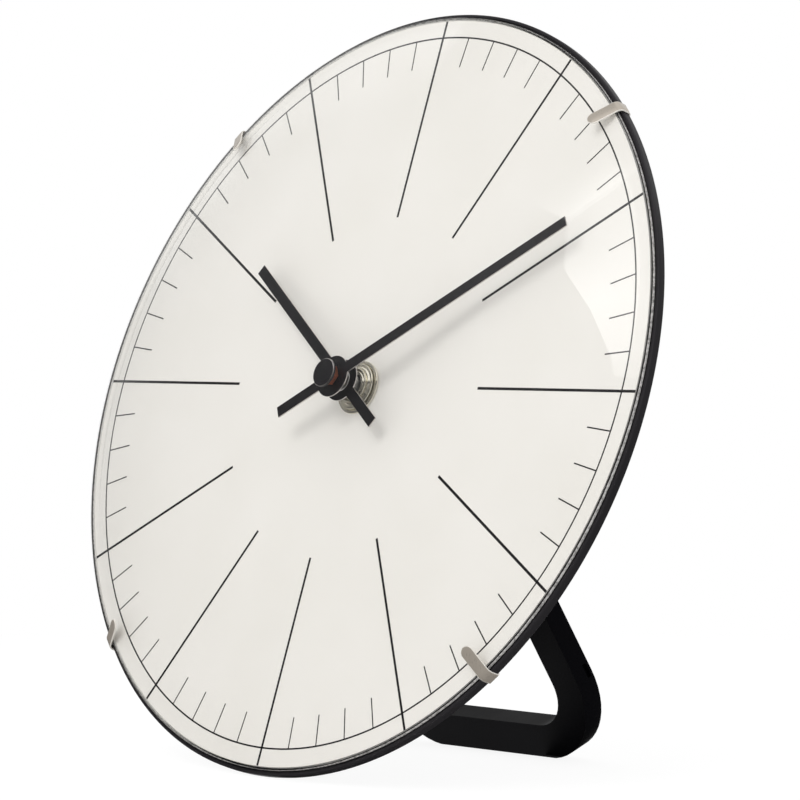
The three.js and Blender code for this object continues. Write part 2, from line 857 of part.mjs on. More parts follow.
function makeBracket() {
  const front = movementRear - gap;
  const rear = front - bracketPlate;
  const plate = block(-bracketHalfWidth, bracketHalfWidth, bracketBottom, bracketTop, rear, front);
  const root = (front + rear) / 2;
  const ear = new THREE.Shape();
  ear.moveTo(bracketTop - bracketPlate, root);
  ear.lineTo(bracketBottom, root);
  ear.lineTo(hingeY - bracketEarRadius, hingeZ);
  ear.absarc(hingeY, hingeZ, bracketEarRadius, -Math.PI, 0, false);
  const ears = [-1, 1].map((side) => {
    const inner = side * (tongueHalfWidth + gap);
    const outer = side * (tongueHalfWidth + gap + bracketEar);
    return raised(ear, Math.min(inner, outer), Math.max(inner, outer)).rotate(profileToSide);
  });
  const reach = tongueHalfWidth + 2 * gap + bracketEar;
  const bore = rod(hingePinRadius + gap, -reach, reach).rotate(toSide).translate([0, hingeY, hingeZ]);
  const holes = screwPlaces().map(([x, y]) => rodAt(x, y, screwRadius + gap, rear - past, front + past));
  return without(joined(plate, ...ears), bore, ...holes);
}

function makeHingePin() {
  const inner = tongueHalfWidth + 2 * gap + bracketEar;
  const outer = inner + hingePinHead;
  const profile = [
    [0, -outer],
    [hingePinHeadRadius, -outer],
    [hingePinHeadRadius, -inner],
    [hingePinRadius, -inner],
    [hingePinRadius, inner],
    [hingePinHeadRadius, inner],
    [hingePinHeadRadius, outer],
    [0, outer],
  ];
  return turned(profile, rodSteps).rotate(toSide).translate([0, hingeY, hingeZ]);
}

function makeBracketScrew() {
  const under = movementRear - gap - bracketPlate - gap;
  const face = under - screwHead;
  const reach = screwHeadRadius + past;
  const slot = block(-reach, reach, -screwSlot / 2, screwSlot / 2, face - past, face + screwSlot);
  const profile = [
    [0, face],
    [screwHeadRadius - softBreak, face],
    [screwHeadRadius, face + softBreak],
    [screwHeadRadius, under],
    [screwRadius, under],
    [screwRadius, under + screwDepth],
    [0, under + screwDepth],
  ];
  return without(turned(profile, rodSteps), slot);
}

// Stand, drawn with the hinge axis at its origin: y up along the loop, z towards the table clock

const clockHeight = caseRadius * Math.cos(clockLean) - (caseRear + caseEdgeRound) * Math.sin(clockLean);
const hingeHeight = clockHeight + hingeY * Math.cos(clockLean) + hingeZ * Math.sin(clockLean);
const frontFace = standThickness / 2;
const standReach = (hingeHeight - frontFace * Math.sin(standLean)) / Math.cos(standLean);
const standLoopHeight = standReach - standTopDrop;

// Everything below the table top, seen from the stand
function makeTable() {
  const far = 2 * standReach;
  const below = block(-far, far, -far, 0, -far, far).rotate([-THREE.MathUtils.radToDeg(standLean), 0, 0]);
  return below.translate([0, -hingeHeight * Math.cos(standLean), hingeHeight * Math.sin(standLean)]);
}

// A small pocket in the outer side of the right leg
function makeLegSlot() {
  const half = legSlotLength / 2;
  const low = frontFace - legSlotSetback - legSlotWidth;
  const pocket = block(-legSlotDepth, past, legSlotRise - half, legSlotRise + half, low, low + legSlotWidth);
  const leaning = pocket.rotate([0, 0, THREE.MathUtils.radToDeg(standLegLean)]);
  return leaning.translate([standBaseHalf, -standReach, 0]);
}

function makeStandLoop() {
  const footShift = standFootCut / Math.cos(standLean);
  const low = -standReach - footShift;
  const high = -standTopDrop;
  const lean = Math.tan(standLegLean);
  const baseHalf = standBaseHalf + lean * footShift;
  const topHalf = standBaseHalf - lean * standLoopHeight;
  const outer = [[-baseHalf, low], [baseHalf, low], [topHalf, high], [-topHalf, high]];
  const sideShift = standBar / Math.cos(standLegLean);
  const innerLow = low + standBar + footShift;
  const innerHigh = high - standBar;
  const innerBase = baseHalf - lean * (innerLow - low) - sideShift;
  const innerTop = baseHalf - lean * (innerHigh - low) - sideShift;
  const inner = [
    [-innerBase, innerLow],
    [innerBase, innerLow],
    [innerTop, innerHigh],
    [-innerTop, innerHigh],
  ];
  const corners = [standCorner, standCorner, standTopCorner, standTopCorner];
  const body = raised(roundedShape(outer, corners), -frontFace, frontFace);
  const hole = roundedShape(inner, corners.map((radius) => radius - standBar));
  const tongue = joined(
    block(-tongueHalfWidth, tongueHalfWidth, high - standBar / 2, 0, -frontFace, frontFace),
    rod(frontFace, -tongueHalfWidth, tongueHalfWidth).rotate(toSide),
  );
  const bore = rod(hingePinRadius + gap, -tongueHalfWidth - past, tongueHalfWidth + past).rotate(toSide);
  const loop = joined(without(body, raised(hole, -frontFace - past, frontFace + past)), tongue);
  return without(loop, bore, makeTable(), makeLegSlot());
}

// Materials

function material(colour, roughness, metalness) {
  return new THREE.MeshStandardMaterial({ color: colour, roughness, metalness });
}

const blackPaint = material(0x1c1c1f, 0.45, 0.2);
const dialPaint = material(0xe9e6e0, 0.6, 0);
const clearGlass = material(0xdfe8e6, 0.05, 0);
const nickel = material(0xb9b5ae, 0.3, 0.9);
const brass = material(0xb5924c, 0.35, 0.9);
const copper = material(0xa0583a, 0.35, 0.9);
const steel = material(0x9a9a9c, 0.35, 0.9);
const blackPlastic = material(0x151517, 0.6, 0);
const palePlastic = material(0xd8d6cf, 0.6, 0);
const rubber = material(0x222222, 0.85, 0);
const boardGreen = material(0x1f5a3a, 0.5, 0);
const batteryLabel = material(0x3b3e42, 0.4, 0.3);

// Assembly

function named(name, solid, look) {
  const mesh = new THREE.Mesh(geometryOf(solid), look);
  mesh.name = name;
  return mesh;
}

function placed(mesh, spot) {
  mesh.position.set(spot.x, spot.y, 0);
  return mesh;
}

function makeClips() {
  const clips = new THREE.Group();
  for (let i = 0; i < clipCount; i += 1) {
    const clip = named(`glass_clip_${i + 1}`, makeClip(), nickel);
    clip.rotation.z = ((2 * i + 1) * Math.PI) / clipCount + clipTurn;
    clips.add(clip);
  }
  return clips;
}

function makeHands() {
  const hands = new THREE.Group();
  const hour = makeHand(
    hourHandLength,
    hourHandTail,
    hourHandWidth,
    hourHandWidth,
    hourPipeOuter,
    hourHandLevel,
  );
  const minute = makeHand(
    minuteHandLength,
    minuteHandTail,
    minuteHandWidth,
    minuteHandTipWidth,
    minutePipeOuter,
    minuteHandLevel,
  );
  const hourHand = named('hour_hand', hour, blackPaint);
  hourHand.rotation.z = -hourAngle;
  const minuteHand = named('minute_hand', minute, blackPaint);
  minuteHand.rotation.z = -minuteAngle;
  hands.add(hourHand, minuteHand);
  hands.add(named('minute_nut', makeMinuteNut(), copper));
  hands.add(named('centre_cap', makeCap(), blackPaint));
  return hands;
}

function makeMovement() {
  const movement = new THREE.Group();
  movement.add(named('movement_front_shell', makeFrontShell(), blackPlastic));
  movement.add(named('movement_rear_shell', makeRearShell(motionPlace), blackPlastic));
  movement.add(named('train_plate', makeTrainPlate(), palePlastic));
  movement.add(named('hour_wheel', makeHourWheel(), blackPlastic));
  movement.add(named('minute_pipe', makeMinutePipe(), brass));
  movement.add(named('centre_wheel', makeCentreWheel(), palePlastic));
  movement.add(named('seconds_wheel', makeSecondsWheel(), brass));
  movement.add(placed(named('third_wheel', makeThirdWheel(), palePlastic), thirdPlace));
  movement.add(placed(named('intermediate_wheel', makeIntermediateWheel(), palePlastic), intermediatePlace));
  movement.add(placed(named('rotor', makeRotor(), steel), rotorPlace));
  movement.add(placed(named('motion_wheel', makeMotionWheel(), palePlastic), motionPlace));
  movement.add(placed(named('setting_knob', makeSettingKnob(), palePlastic), motionPlace));
  movement.add(named('stator', makeStator(), steel));
  movement.add(named('coil', makeCoil(), copper));
  movement.add(named('circuit_board', makeCircuitBoard(), boardGreen));
  movement.add(named('quartz_crystal', makeCrystal(), steel));
  movement.add(named('battery', makeBattery(), batteryLabel));
  movement.add(named('positive_contact', makePositiveContact(), nickel));
  movement.add(named('negative_contact', makeNegativeContact(), nickel));
  return movement;
}

function makeHinge() {
  const hinge = new THREE.Group();
  hinge.add(named('stand_bracket', makeBracket(), blackPaint));
  hinge.add(named('hinge_pin', makeHingePin(), steel));
  screwPlaces().forEach(([x, y], i) => {
    hinge.add(placed(named(`bracket_screw_${i + 1}`, makeBracketScrew(), steel), new THREE.Vector2(x, y)));
  });
  return hinge;
}

function makeStand() {
  const stand = named('stand', makeStandLoop(), blackPaint);
  stand.position.set(0, hingeY, hingeZ);
  stand.rotation.x = clockLean + standLean;
  return stand;
}

const clock = new THREE.Group();
clock.add(named('case', makeCase(), blackPaint));
clock.add(named('dial', makeDial(), dialPaint));
clock.add(named('glass', makeGlass(), clearGlass));
clock.add(makeClips());
clock.add(named('bushing', makeBushing(), brass));
clock.add(named('flange_washer', makeFlangeWasher(), nickel));
clock.add(named('centre_nut', makeCentreNut(), nickel));
clock.add(named('rubber_washer', makeRubberWasher(), rubber));
clock.add(makeHands(), makeMovement(), makeHinge(), makeStand());
clock.rotation.x = Math.PI / 2 - clockLean;
clock.position.z = clockHeight;

// The origin is the middle of the whole clock's footprint, on the table
const tableClock = new THREE.Group();
tableClock.add(clock);
tableClock.updateMatrixWorld(true);
const extent = new THREE.Box3().setFromObject(tableClock, true);
tableClock.position.y = -(extent.min.y + extent.max.y) / 2;
tableClock.updateMatrixWorld(true);

export default tableClock;
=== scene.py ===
"""Table clock with a domed glass, seen from its front right."""
import json
import math

import bmesh
import bpy
from mathutils import Matrix, Vector
from mathutils.geometry import tessellate_polygon


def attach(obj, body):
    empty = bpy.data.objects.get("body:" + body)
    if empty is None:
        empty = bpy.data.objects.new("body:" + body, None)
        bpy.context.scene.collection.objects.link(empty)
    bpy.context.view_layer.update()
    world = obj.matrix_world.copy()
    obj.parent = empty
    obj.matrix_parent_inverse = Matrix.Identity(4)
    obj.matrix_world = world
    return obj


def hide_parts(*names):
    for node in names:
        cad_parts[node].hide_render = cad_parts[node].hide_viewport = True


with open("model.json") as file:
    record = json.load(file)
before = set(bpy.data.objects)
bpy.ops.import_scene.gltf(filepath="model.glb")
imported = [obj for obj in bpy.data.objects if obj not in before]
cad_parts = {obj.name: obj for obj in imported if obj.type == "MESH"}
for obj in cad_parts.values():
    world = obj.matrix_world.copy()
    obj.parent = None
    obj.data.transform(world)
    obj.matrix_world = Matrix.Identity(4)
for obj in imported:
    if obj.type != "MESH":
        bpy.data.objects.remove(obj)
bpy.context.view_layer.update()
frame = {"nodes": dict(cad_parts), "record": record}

joint_places = {
    joint["name"]: joint.get("pos_m", (0, 0, 0)) for joint in frame["record"]["behaviour"]["joints"]
}
DIAL_CENTRE, HINGE = joint_places["minute_turn"], joint_places["stand_fold"]

MM = 0.001
LEAN = math.radians(18.95)
OPEN = math.radians(40.95)
CLOCK = Matrix.Translation(DIAL_CENTRE) @ Matrix.Rotation(math.pi / 2 - LEAN, 4, "X")
STAND = Matrix.Translation(HINGE) @ Matrix.Rotation(math.pi / 2 - LEAN + OPEN, 4, "X")

# Steps of a full turn: large rounds, the collar and small turned parts
TURN, COLLAR_TURN, SMALL_TURN = 256, 128, 96

# Sizes in millimetres, in the clock's own frame: x right, y up the dial, z out of the dial

# Glass: its edge, the rise and thickness of the dome, the clear space under it and its ground edge
GLASS_R, GLASS_TOP, GLASS_LOW, GLASS_RISE, GLASS_T = 99.6, 0.85, -0.8, 24.5, 1.5
GLASS_UNDER, GLASS_LIP, GLASS_FOOT, GLASS_CHAMFER = 0.3, 0.6, 0.22, 0.1
ARRIS_TOP, ARRIS_H, ARRIS_IN = 0.55, 0.5, 0.15
GLASS_SPHERE = (GLASS_R**2 + GLASS_RISE**2) / (2 * GLASS_RISE)
GLASS_CENTRE = GLASS_TOP + GLASS_RISE - GLASS_SPHERE
DOME_STEPS = 48

# Dial and the drawn-in centre that dial and case share
DIAL_R, DIAL_T, DIAL_EDGE, HOLE_R = 98.9, 0.25, 0.05, 4.2
DISH, DISH_IN, DISH_OUT, DISH_STEPS = 1.8, 9.0, 44.0, 14

# Case, with its groove for the glass
CASE_R, CASE_FRONT, CASE_REAR, CASE_WALL = 100.9, -0.55, -2.9, 1.2
CASE_GROOVE, CASE_LIP, CASE_ROUND, CASE_CORNER = -1.1, -0.6, 0.4, 0.3
GROOVE_START, GROOVE_IN = DIAL_R - 0.7, DIAL_R - 0.5
GROOVE_OUT, LIP_START = GLASS_R + 0.45, GLASS_R + 0.55

# Print: its radius and height, widths, and the radii of lines, ticks and circle as shares
PRINT_R, PRINT_TOP, PRINT_LOW = 98.8, 0.03, -0.05
LINE_W, TICK_W, CIRCLE_W = 0.7, 0.34, 0.42
LINE_START, TICK_START, CIRCLE_AT = 0.458, 0.873, 0.954
LINE_END = DIAL_R - 0.1

# Clips: the strip, its bends, where the first one sits, then steps along its round tip
CLIP_GAP, CLIP_T, CLIP_HALF, CLIP_EDGE_ROUND = 0.03, 0.42, 1.65, 0.14
CLIP_REACH, CLIP_BEND, CLIP_LOW_BEND, CLIP_END = 7.5, 2.0, 0.8, 0.3
CLIP_ANGLE, CLIPS = math.radians(45.75), 4
TIP_STEPS = (0, 0.05, 0.15, 0.3, 0.5, 0.8, 1.1, 1.4)
TIP_LENGTH, TIP_LEAST = 1.6, 0.1414

# Centre: washer, nut and threaded tube
WASHER_R, WASHER_LOW, WASHER_TOP, WASHER_FACE = 7.0, -1.5, -1.0, -1.1
NUT_R, NUT_LOW, NUT_STEP, NECK_R, NECK_LOW, NUT_TOP = 6.0, -0.7, -0.2, 4.6, 0.3, 0.8
TUBE_BORE, TUBE_FLANGE_R, TUBE_BACK, FLANGE_TOP, TUBE_END = 3.0, 6.0, -7.95, -6.65, 0.9
THREAD_R, THREAD_ROOT, THREAD_START, THREAD_PITCH, THREAD_TURNS = 3.9, 3.66, -4.9, 0.46, 12

# Hands, their nut and the cap
BOSS_R, BOSS_STEPS, HAND_T, HAND_ROUND = 5.4, 40, 0.4, 0.04
HAND_NUT_R, HAND_NUT_BORE, HAND_NUT_LOW, HAND_NUT_TOP = 2.8, 2.0, 8.2, 9.4
CAP_R, CAP_LOW, CAP_TOP, CAP_ROUND = 3.73, 10.2, 11.05, 0.18
CAP_STEM_R, CAP_STEM_LOW, CAP_BORE, CAP_BORE_TOP = 1.6, 9.7, 1.0, 10.4

# Stand: lean of its legs, the loop's bar and thickness, its floor face and the pocket in the right leg
LEG_LEAN, FOOT_LEAN = math.radians(14.6), math.radians(22)
STAND_BASE, STAND_T, STAND_BAR, STAND_TOP_DROP = 43.8, 6.2, 9.2, 11.0
FOOT_SPARE, STAND_ROUND = 0.2, 0.35
LOOP_ROUNDS, HOLE_ROUNDS = (19.2, 19.2, 12, 12), (10, 2.8, 2.8, 10)
SLOT_RISE, SLOT_LENGTH, SLOT_W, SLOT_DEPTH, SLOT_SETBACK = 24.8, 3.6, 1.4, 1.2, 4.0
TONGUE_HALF, TONGUE_OVERLAP, PIN_BORE = 7.7, 4.0, 1.8


def srgb(*values):
    """Linear colour from 8-bit display values."""
    out = []
    for v in values:
        c = v / 255
        out.append(c / 12.92 if c <= 0.04045 else ((c + 0.055) / 1.055) ** 2.4)
    return (*out, 1.0)


def grey(value):
    return (value, value, value, 1)


# Materials


class Nodes:
    """Short calls for building a node tree."""

    def __init__(self, name, world=None):
        self.material = world or bpy.data.materials.new(name)
        self.material.use_nodes = True
        self.tree = self.material.node_tree
        self.tree.nodes.clear()
        self.out = self.add("ShaderNodeOutputWorld" if world else "ShaderNodeOutputMaterial")

    def add(self, kind, **settings):
        node = self.tree.nodes.new(kind)
        for key, value in settings.items():
            setattr(node, key, value)
        return node

    def link(self, source, target):
        self.tree.links.new(source, target)

    def place(self):
        return self.add("ShaderNodeTexCoord").outputs["Object"]

    def noise(self, scale, detail=2.0, vector=None):
        node = self.add("ShaderNodeTexNoise")
        node.inputs["Scale"].default_value = scale
        node.inputs["Detail"].default_value = detail
        self.link(vector or self.place(), node.inputs["Vector"])
        return node.outputs["Fac"]

    def ramp(self, source, stops):
        node = self.add("ShaderNodeValToRGB")
        ramp = node.color_ramp
        while len(ramp.elements) < len(stops):
            ramp.elements.new(0.5)
        for element, (position, colour) in zip(ramp.elements, stops):
            element.position = position
            element.color = colour
        self.link(source, node.inputs["Fac"])
        return node.outputs["Color"]

    def spread(self, source, low, high, start=0.0, end=1.0):
        node = self.add("ShaderNodeMapRange")
        node.inputs["From Min"].default_value = start
        node.inputs["From Max"].default_value = end
        node.inputs["To Min"].default_value = low
        node.inputs["To Max"].default_value = high
        self.link(source, node.inputs["Value"])
        return node.outputs["Result"]

    def bump(self, height, strength, distance):
        node = self.add("ShaderNodeBump")
        node.inputs["Strength"].default_value = strength
        node.inputs["Distance"].default_value = distance
        self.link(height, node.inputs["Height"])
        return node.outputs["Normal"]

    def principled(self, **values):
        node = self.add("ShaderNodeBsdfPrincipled")
        for key, value in values.items():
            node.inputs[key.replace("_", " ")].default_value = value
        return node

    def mix(self, share, first, second):
        node = self.add("ShaderNodeMixShader")
        self.link(share, node.inputs["Fac"])
        self.link(first, node.inputs[1])
        self.link(second, node.inputs[2])
        return node.outputs["Shader"]

    def finish(self, shader):
        self.link(shader, self.out.inputs["Surface"])
        return self.material


def coated(name, dark, light, grain, rough, bump=0.05, specular=0.5, patch=18.0):
    """Paint or moulded plastic: slow colour change, fine grain in the height and a varied gloss."""
    n = Nodes(name)
    shader = n.principled(Specular_IOR_Level=specular)
    n.link(n.ramp(n.noise(patch, 3), [(0.3, dark), (0.7, light)]), shader.inputs["Base Color"])
    n.link(n.spread(n.noise(patch * 2.5, 4), *rough, 0.3, 0.7), shader.inputs["Roughness"])
    n.link(n.bump(n.noise(grain), bump, 0.0002), shader.inputs["Normal"])
    return n.finish(shader.outputs["BSDF"])


def metal(name, dark, light, rough, stretch=(1, 1, 1), grain=4000.0, bump=0.02, metallic=1.0):
    """Bare or plated metal with fine drawn marks."""
    n = Nodes(name)
    shader = n.principled(Metallic=metallic)
    mapping = n.add("ShaderNodeMapping")
    mapping.inputs["Scale"].default_value = stretch
    n.link(n.place(), mapping.inputs["Vector"])
    marks = n.noise(grain, 3, mapping.outputs["Vector"])
    n.link(n.ramp(n.noise(60, 3), [(0.3, dark), (0.7, light)]), shader.inputs["Base Color"])
    n.link(n.spread(marks, *rough, 0.3, 0.7), shader.inputs["Roughness"])
    n.link(n.bump(marks, bump, 0.0001), shader.inputs["Normal"])
    return n.finish(shader.outputs["BSDF"])


def dome_glass(face_on=0.04, at_edge=0.45):
    """Thin clear glass: light goes straight through it, and it mirrors more towards its edge."""
    n = Nodes("dome_glass")
    clear = n.add("ShaderNodeBsdfTransparent")
    clear.inputs["Color"].default_value = (1.0, 1.0, 0.998, 1)
    gloss = n.principled(Metallic=1.0, Roughness=0.01)
    tint = [(0.3, (0.96, 0.97, 0.97, 1)), (0.7, (1, 1, 1, 1))]
    n.link(n.ramp(n.noise(9, 1), tint), gloss.inputs["Base Color"])
    n.link(n.bump(n.noise(14, 1), 0.02, 0.001), gloss.inputs["Normal"])
    weight = n.add("ShaderNodeLayerWeight")
    weight.inputs["Blend"].default_value = 0.5
    power = n.add("ShaderNodeMath", operation="POWER")
    power.inputs[1].default_value = 5.0
    n.link(weight.outputs["Facing"], power.inputs[0])
    share = n.spread(power.outputs["Value"], face_on, at_edge)
    return n.finish(n.mix(share, clear.outputs["BSDF"], gloss.outputs["BSDF"]))


def ground_glass(name, dark, light):
    """Ground edge of the glass: a frosted band with fine pits."""
    n = Nodes(name)
    shader = n.principled(Specular_IOR_Level=0.4)
    pits = n.noise(1500)
    n.link(n.ramp(pits, [(0.34, dark), (0.6, light)]), shader.inputs["Base Color"])
    n.link(n.spread(pits, 0.4, 0.65, 0.3, 0.7), shader.inputs["Roughness"])
    n.link(n.bump(pits, 0.3, 0.0002), shader.inputs["Normal"])
    return n.finish(shader.outputs["BSDF"])


def board_material():
    """Circuit board: green resist with copper tracks."""
    n = Nodes("circuit_board_green")
    shader = n.principled(Specular_IOR_Level=0.5)
    brick = n.add("ShaderNodeTexBrick")
    brick.inputs["Scale"].default_value = 300
    brick.inputs["Color1"].default_value = srgb(22, 88, 52)
    brick.inputs["Color2"].default_value = srgb(26, 98, 58)
    brick.inputs["Mortar"].default_value = srgb(60, 128, 80)
    n.link(n.place(), brick.inputs["Vector"])
    n.link(brick.outputs["Color"], shader.inputs["Base Color"])
    n.link(n.spread(n.noise(400), 0.3, 0.5), shader.inputs["Roughness"])
    return n.finish(shader.outputs["BSDF"])


def wound_wire():
    """Fine enamelled wire wound round the coil."""
    n = Nodes("coil_wire")
    shader = n.principled(Metallic=0.8)
    wave = n.add("ShaderNodeTexWave", bands_direction="Y")
    wave.inputs["Scale"].default_value = 1400
    n.link(n.place(), wave.inputs["Vector"])
    copper = [(0.2, srgb(92, 40, 20)), (0.8, srgb(190, 96, 52))]
    n.link(n.ramp(wave.outputs["Fac"], copper), shader.inputs["Base Color"])
    n.link(n.spread(n.noise(300), 0.3, 0.5), shader.inputs["Roughness"])
    n.link(n.bump(wave.outputs["Fac"], 0.5, 0.0001), shader.inputs["Normal"])
    return n.finish(shader.outputs["BSDF"])


# Each coated or metal finish: dark and light tone, then how fine and how glossy it is
DIAL_WHITE = coated(
    "dial_white", srgb(240, 237, 231), srgb(244, 241, 236), 2600, (0.55, 0.65), 0.02, 0.2, patch=30
)
INK = coated("dial_ink", srgb(24, 22, 25), srgb(33, 31, 34), 1800, (0.5, 0.62), 0.02, 0.2, patch=90)
CASE_BLACK = coated("case_black", srgb(36, 34, 37), srgb(45, 43, 46), 2200, (0.48, 0.58), 0.05, 0.3)
HAND_BLACK = coated("hand_black", srgb(20, 17, 21), srgb(28, 25, 30), 1800, (0.38, 0.5), 0.04, 0.4)
CUT_EDGE = metal(
    "hand_cut_edge", srgb(176, 172, 172), srgb(206, 202, 200), (0.3, 0.42), (1, 1, 3), 900, 0.04
)
STAND_BLACK = coated("stand_black", srgb(10, 10, 13), srgb(15, 14, 18), 1600, (0.42, 0.52), 0.08, 0.04)
SHELL_BLACK = coated("shell_black", srgb(26, 26, 28), srgb(36, 36, 38), 1100, (0.5, 0.62), 0.35, 0.4)
PALE = coated("pale_plastic", srgb(206, 203, 194), srgb(220, 217, 209), 1200, (0.38, 0.5), 0.08, 0.4)
RUBBER = coated("washer_rubber", srgb(24, 24, 24), srgb(38, 37, 36), 900, (0.75, 0.9), 0.3, 0.3)
SLEEVE = coated("battery_sleeve", srgb(52, 56, 62), srgb(64, 68, 74), 700, (0.25, 0.35), 0.03, 0.5)
NICKEL = metal(
    "satin_nickel", srgb(178, 169, 157), srgb(196, 187, 175), (0.26, 0.36), (1, 1, 0.2), metallic=0.42
)
# Painted highlight: a near-white, barely metallic colour on the clips' narrow sides and rounded edges, for
# the bright line light puts along the strip's edge.
CLIP_EDGE_HIGHLIGHT = metal("clip_edge_painted_highlight", srgb(236, 231, 223), srgb(246, 242, 235), (0.3, 0.4), metallic=0.15)
COLLAR = metal(
    "collar_nickel", srgb(236, 230, 214), srgb(248, 243, 228), (0.12, 0.2), (1, 1, 3), 5000, 0.01, 0.85
)
BRASS = metal(
    "turned_brass", srgb(188, 170, 134), srgb(214, 196, 158), (0.24, 0.36), (1, 1, 4), metallic=0.85
)
COPPER = metal("copper_nut", srgb(178, 104, 78), srgb(206, 130, 102), (0.25, 0.36), metallic=0.7)
STEEL = metal(
    "plain_steel", srgb(160, 160, 162), srgb(190, 190, 192), (0.25, 0.4), grain=3000, metallic=0.9
)
DOME = dome_glass()
GROUND = ground_glass("ground_glass", srgb(150, 148, 146), srgb(238, 236, 233))
# Painted shade: the top band of the frosted edge is coloured near black for the dark line that shade makes
# there.
ARRIS_SHADE = ground_glass("ground_arris_painted_shade", srgb(27, 25, 25), srgb(58, 55, 54))
LAND = coated("glass_land", srgb(238, 238, 235), srgb(246, 246, 243), 1500, (0.45, 0.6), 0.05, 0.3)
BOARD = board_material()
WIRE = wound_wire()


# Mesh building. Points are given in millimetres in the clock's frame, or another by its matrix.


def add_object(name, data):
    thing = bpy.data.objects.new(name, data)
    bpy.context.scene.collection.objects.link(thing)
    return thing


def make(name, verts, faces, materials, body, matrix=CLOCK, sharp=30, indices=None):
    """Piece on a body: its mesh has one material, or several with an index for each face."""
    mesh = bpy.data.meshes.new(name)
    mesh.from_pydata([Vector(v) * MM for v in verts], [], faces)
    bm = bmesh.new()
    bm.from_mesh(mesh)
    bmesh.ops.recalc_face_normals(bm, faces=bm.faces)
    bm.to_mesh(mesh)
    bm.free()
    for material in materials if isinstance(materials, list) else [materials]:
        mesh.materials.append(material)
    if indices:
        mesh.polygons.foreach_set("material_index", indices)
    mesh.polygons.foreach_set("use_smooth", [True] * len(mesh.polygons))
    mesh.set_sharp_from_angle(angle=math.radians(sharp))
    mesh.transform(matrix)
    thing = add_object(name, mesh)
    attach(thing, body)
    return thing


def stands_for(nodes):
    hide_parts(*nodes)


def lathe_data(profile, steps=TURN, start=0):
    """Closed profile of (radius, height) turned about z. Its points are numbered from start."""
    verts, faces, count = [], [], len(profile)
    for i in range(steps):
        angle = 2 * math.pi * i / steps
        for r, z in profile:
            verts.append((r * math.cos(angle), r * math.sin(angle), z))
    for i in range(steps):
        here, there = start + i * count, start + ((i + 1) % steps) * count
        for j in range(count):
            k = (j + 1) % count
            faces.append([here + j, there + j, there + k, here + k])
    return verts, faces


def lathe(name, profile, material, body, steps=TURN, sharp=30):
    verts, faces = lathe_data(profile, steps)
    return make(name, verts, faces, material, body, sharp=sharp)


def arc(cx, cy, radius, start, end, steps=10):
    angles = (start + (end - start) * i / steps for i in range(steps + 1))
    return [Vector((cx + radius * math.cos(a), cy + radius * math.sin(a))) for a in angles]


def fillet(points, radii, steps):
    """Closed polygon with its corners rounded, for any turn direction."""
    out = []
    for i, (point, radius) in enumerate(zip(points, radii)):
        corner = Vector(point)
        before = (Vector(points[i - 1]) - corner).normalized()
        after = (Vector(points[(i + 1) % len(points)]) - corner).normalized()
        half = math.acos(max(-1, min(1, before.dot(after)))) / 2
        run = radius / math.tan(half)
        centre = corner + (before + after).normalized() * (radius / math.sin(half))
        first, last = corner + before * run - centre, corner + after * run - centre
        turn = math.atan2(first.x * last.y - first.y * last.x, first.dot(last))
        for k in range(steps + 1):
            c, s = math.cos(turn * k / steps), math.sin(turn * k / steps)
            out.append((centre.x + c * first.x - s * first.y, centre.y + s * first.x + c * first.y))
    return out


def prism_data(outlines, low, high):
    """Outline with holes, raised from low to high. Flat faces are cut into triangles."""
    flat = [[Vector((x, y, 0)) for x, y in line] for line in outlines]
    points = [p for line in flat for p in line]
    count = len(points)
    verts = [(p.x, p.y, low) for p in points] + [(p.x, p.y, high) for p in points]
    faces = []
    for a, b, c in tessellate_polygon(flat):
        faces.append([a, b, c])
        faces.append([a + count, b + count, c + count])
    start = 0
    for line in flat:
        size = len(line)
        for i in range(size):
            here, there = start + i, start + (i + 1) % size
            faces.append([here, there, there + count, here + count])
        start += size
    return verts, faces


def soften(thing, width, segments=2, angle=40):
    """Small round on the sharp edges."""
    bevel = thing.modifiers.new("edge_round", "BEVEL")
    bevel.width = width * MM
    bevel.segments = segments
    bevel.limit_method = "ANGLE"
    bevel.angle_limit = math.radians(angle)
    bevel.harden_normals = True


def circle(radius, steps):
    angles = (2 * math.pi * i / steps for i in range(steps))
    return [(radius * math.cos(a), radius * math.sin(a)) for a in angles]


def dish(level):
    """The drawn-in centre of dial and case, from the middle outwards."""
    points = []
    for i in range(DISH_STEPS + 1):
        share = i / DISH_STEPS
        radius = DISH_IN + share * (DISH_OUT - DISH_IN)
        points.append((radius, level - DISH * (1 + math.cos(share * math.pi)) / 2))
    return points


def sheet(level, thick, edge):
    """Profile of a dished sheet: its front face outwards, the edge given, and its back face inwards."""
    front = [(HOLE_R, level - DISH)] + dish(level)
    back = list(reversed(dish(level - thick))) + [(HOLE_R, level - thick - DISH)]
    return front + edge + back


# Case and dial


def make_case():
    """Dish with a groove for the glass, a rounded lip round it and a short skirt behind."""
    round_r, inner = CASE_R - CASE_ROUND, CASE_R - CASE_WALL
    front_bend, rear_bend, under = CASE_LIP - CASE_ROUND, CASE_REAR + CASE_ROUND, CASE_FRONT - CASE_WALL
    edge = [(GROOVE_START, CASE_FRONT), (GROOVE_IN, CASE_GROOVE)]
    edge += [(GROOVE_OUT, CASE_GROOVE), (LIP_START, CASE_LIP)]
    for middle, height, turn in (
        (round_r, front_bend, math.pi / 2),
        (round_r, rear_bend, 0),
        (inner + CASE_ROUND, rear_bend, -math.pi / 2),
    ):
        edge += [tuple(p) for p in arc(middle, height, CASE_ROUND, turn, turn - math.pi / 2, 6)]
    edge += [(inner, under - CASE_CORNER), (inner - CASE_CORNER, under)]
    case = lathe("case_dish", sheet(CASE_FRONT, CASE_WALL, edge), CASE_BLACK, "clock")
    stands_for(["case"])


def make_dial():
    edge = [(DIAL_R - DIAL_EDGE, 0), (DIAL_R, -DIAL_EDGE), (DIAL_R, -DIAL_T)]
    face = lathe("dial_face", sheet(0, DIAL_T, edge), DIAL_WHITE, "clock")
    stands_for(["dial"])


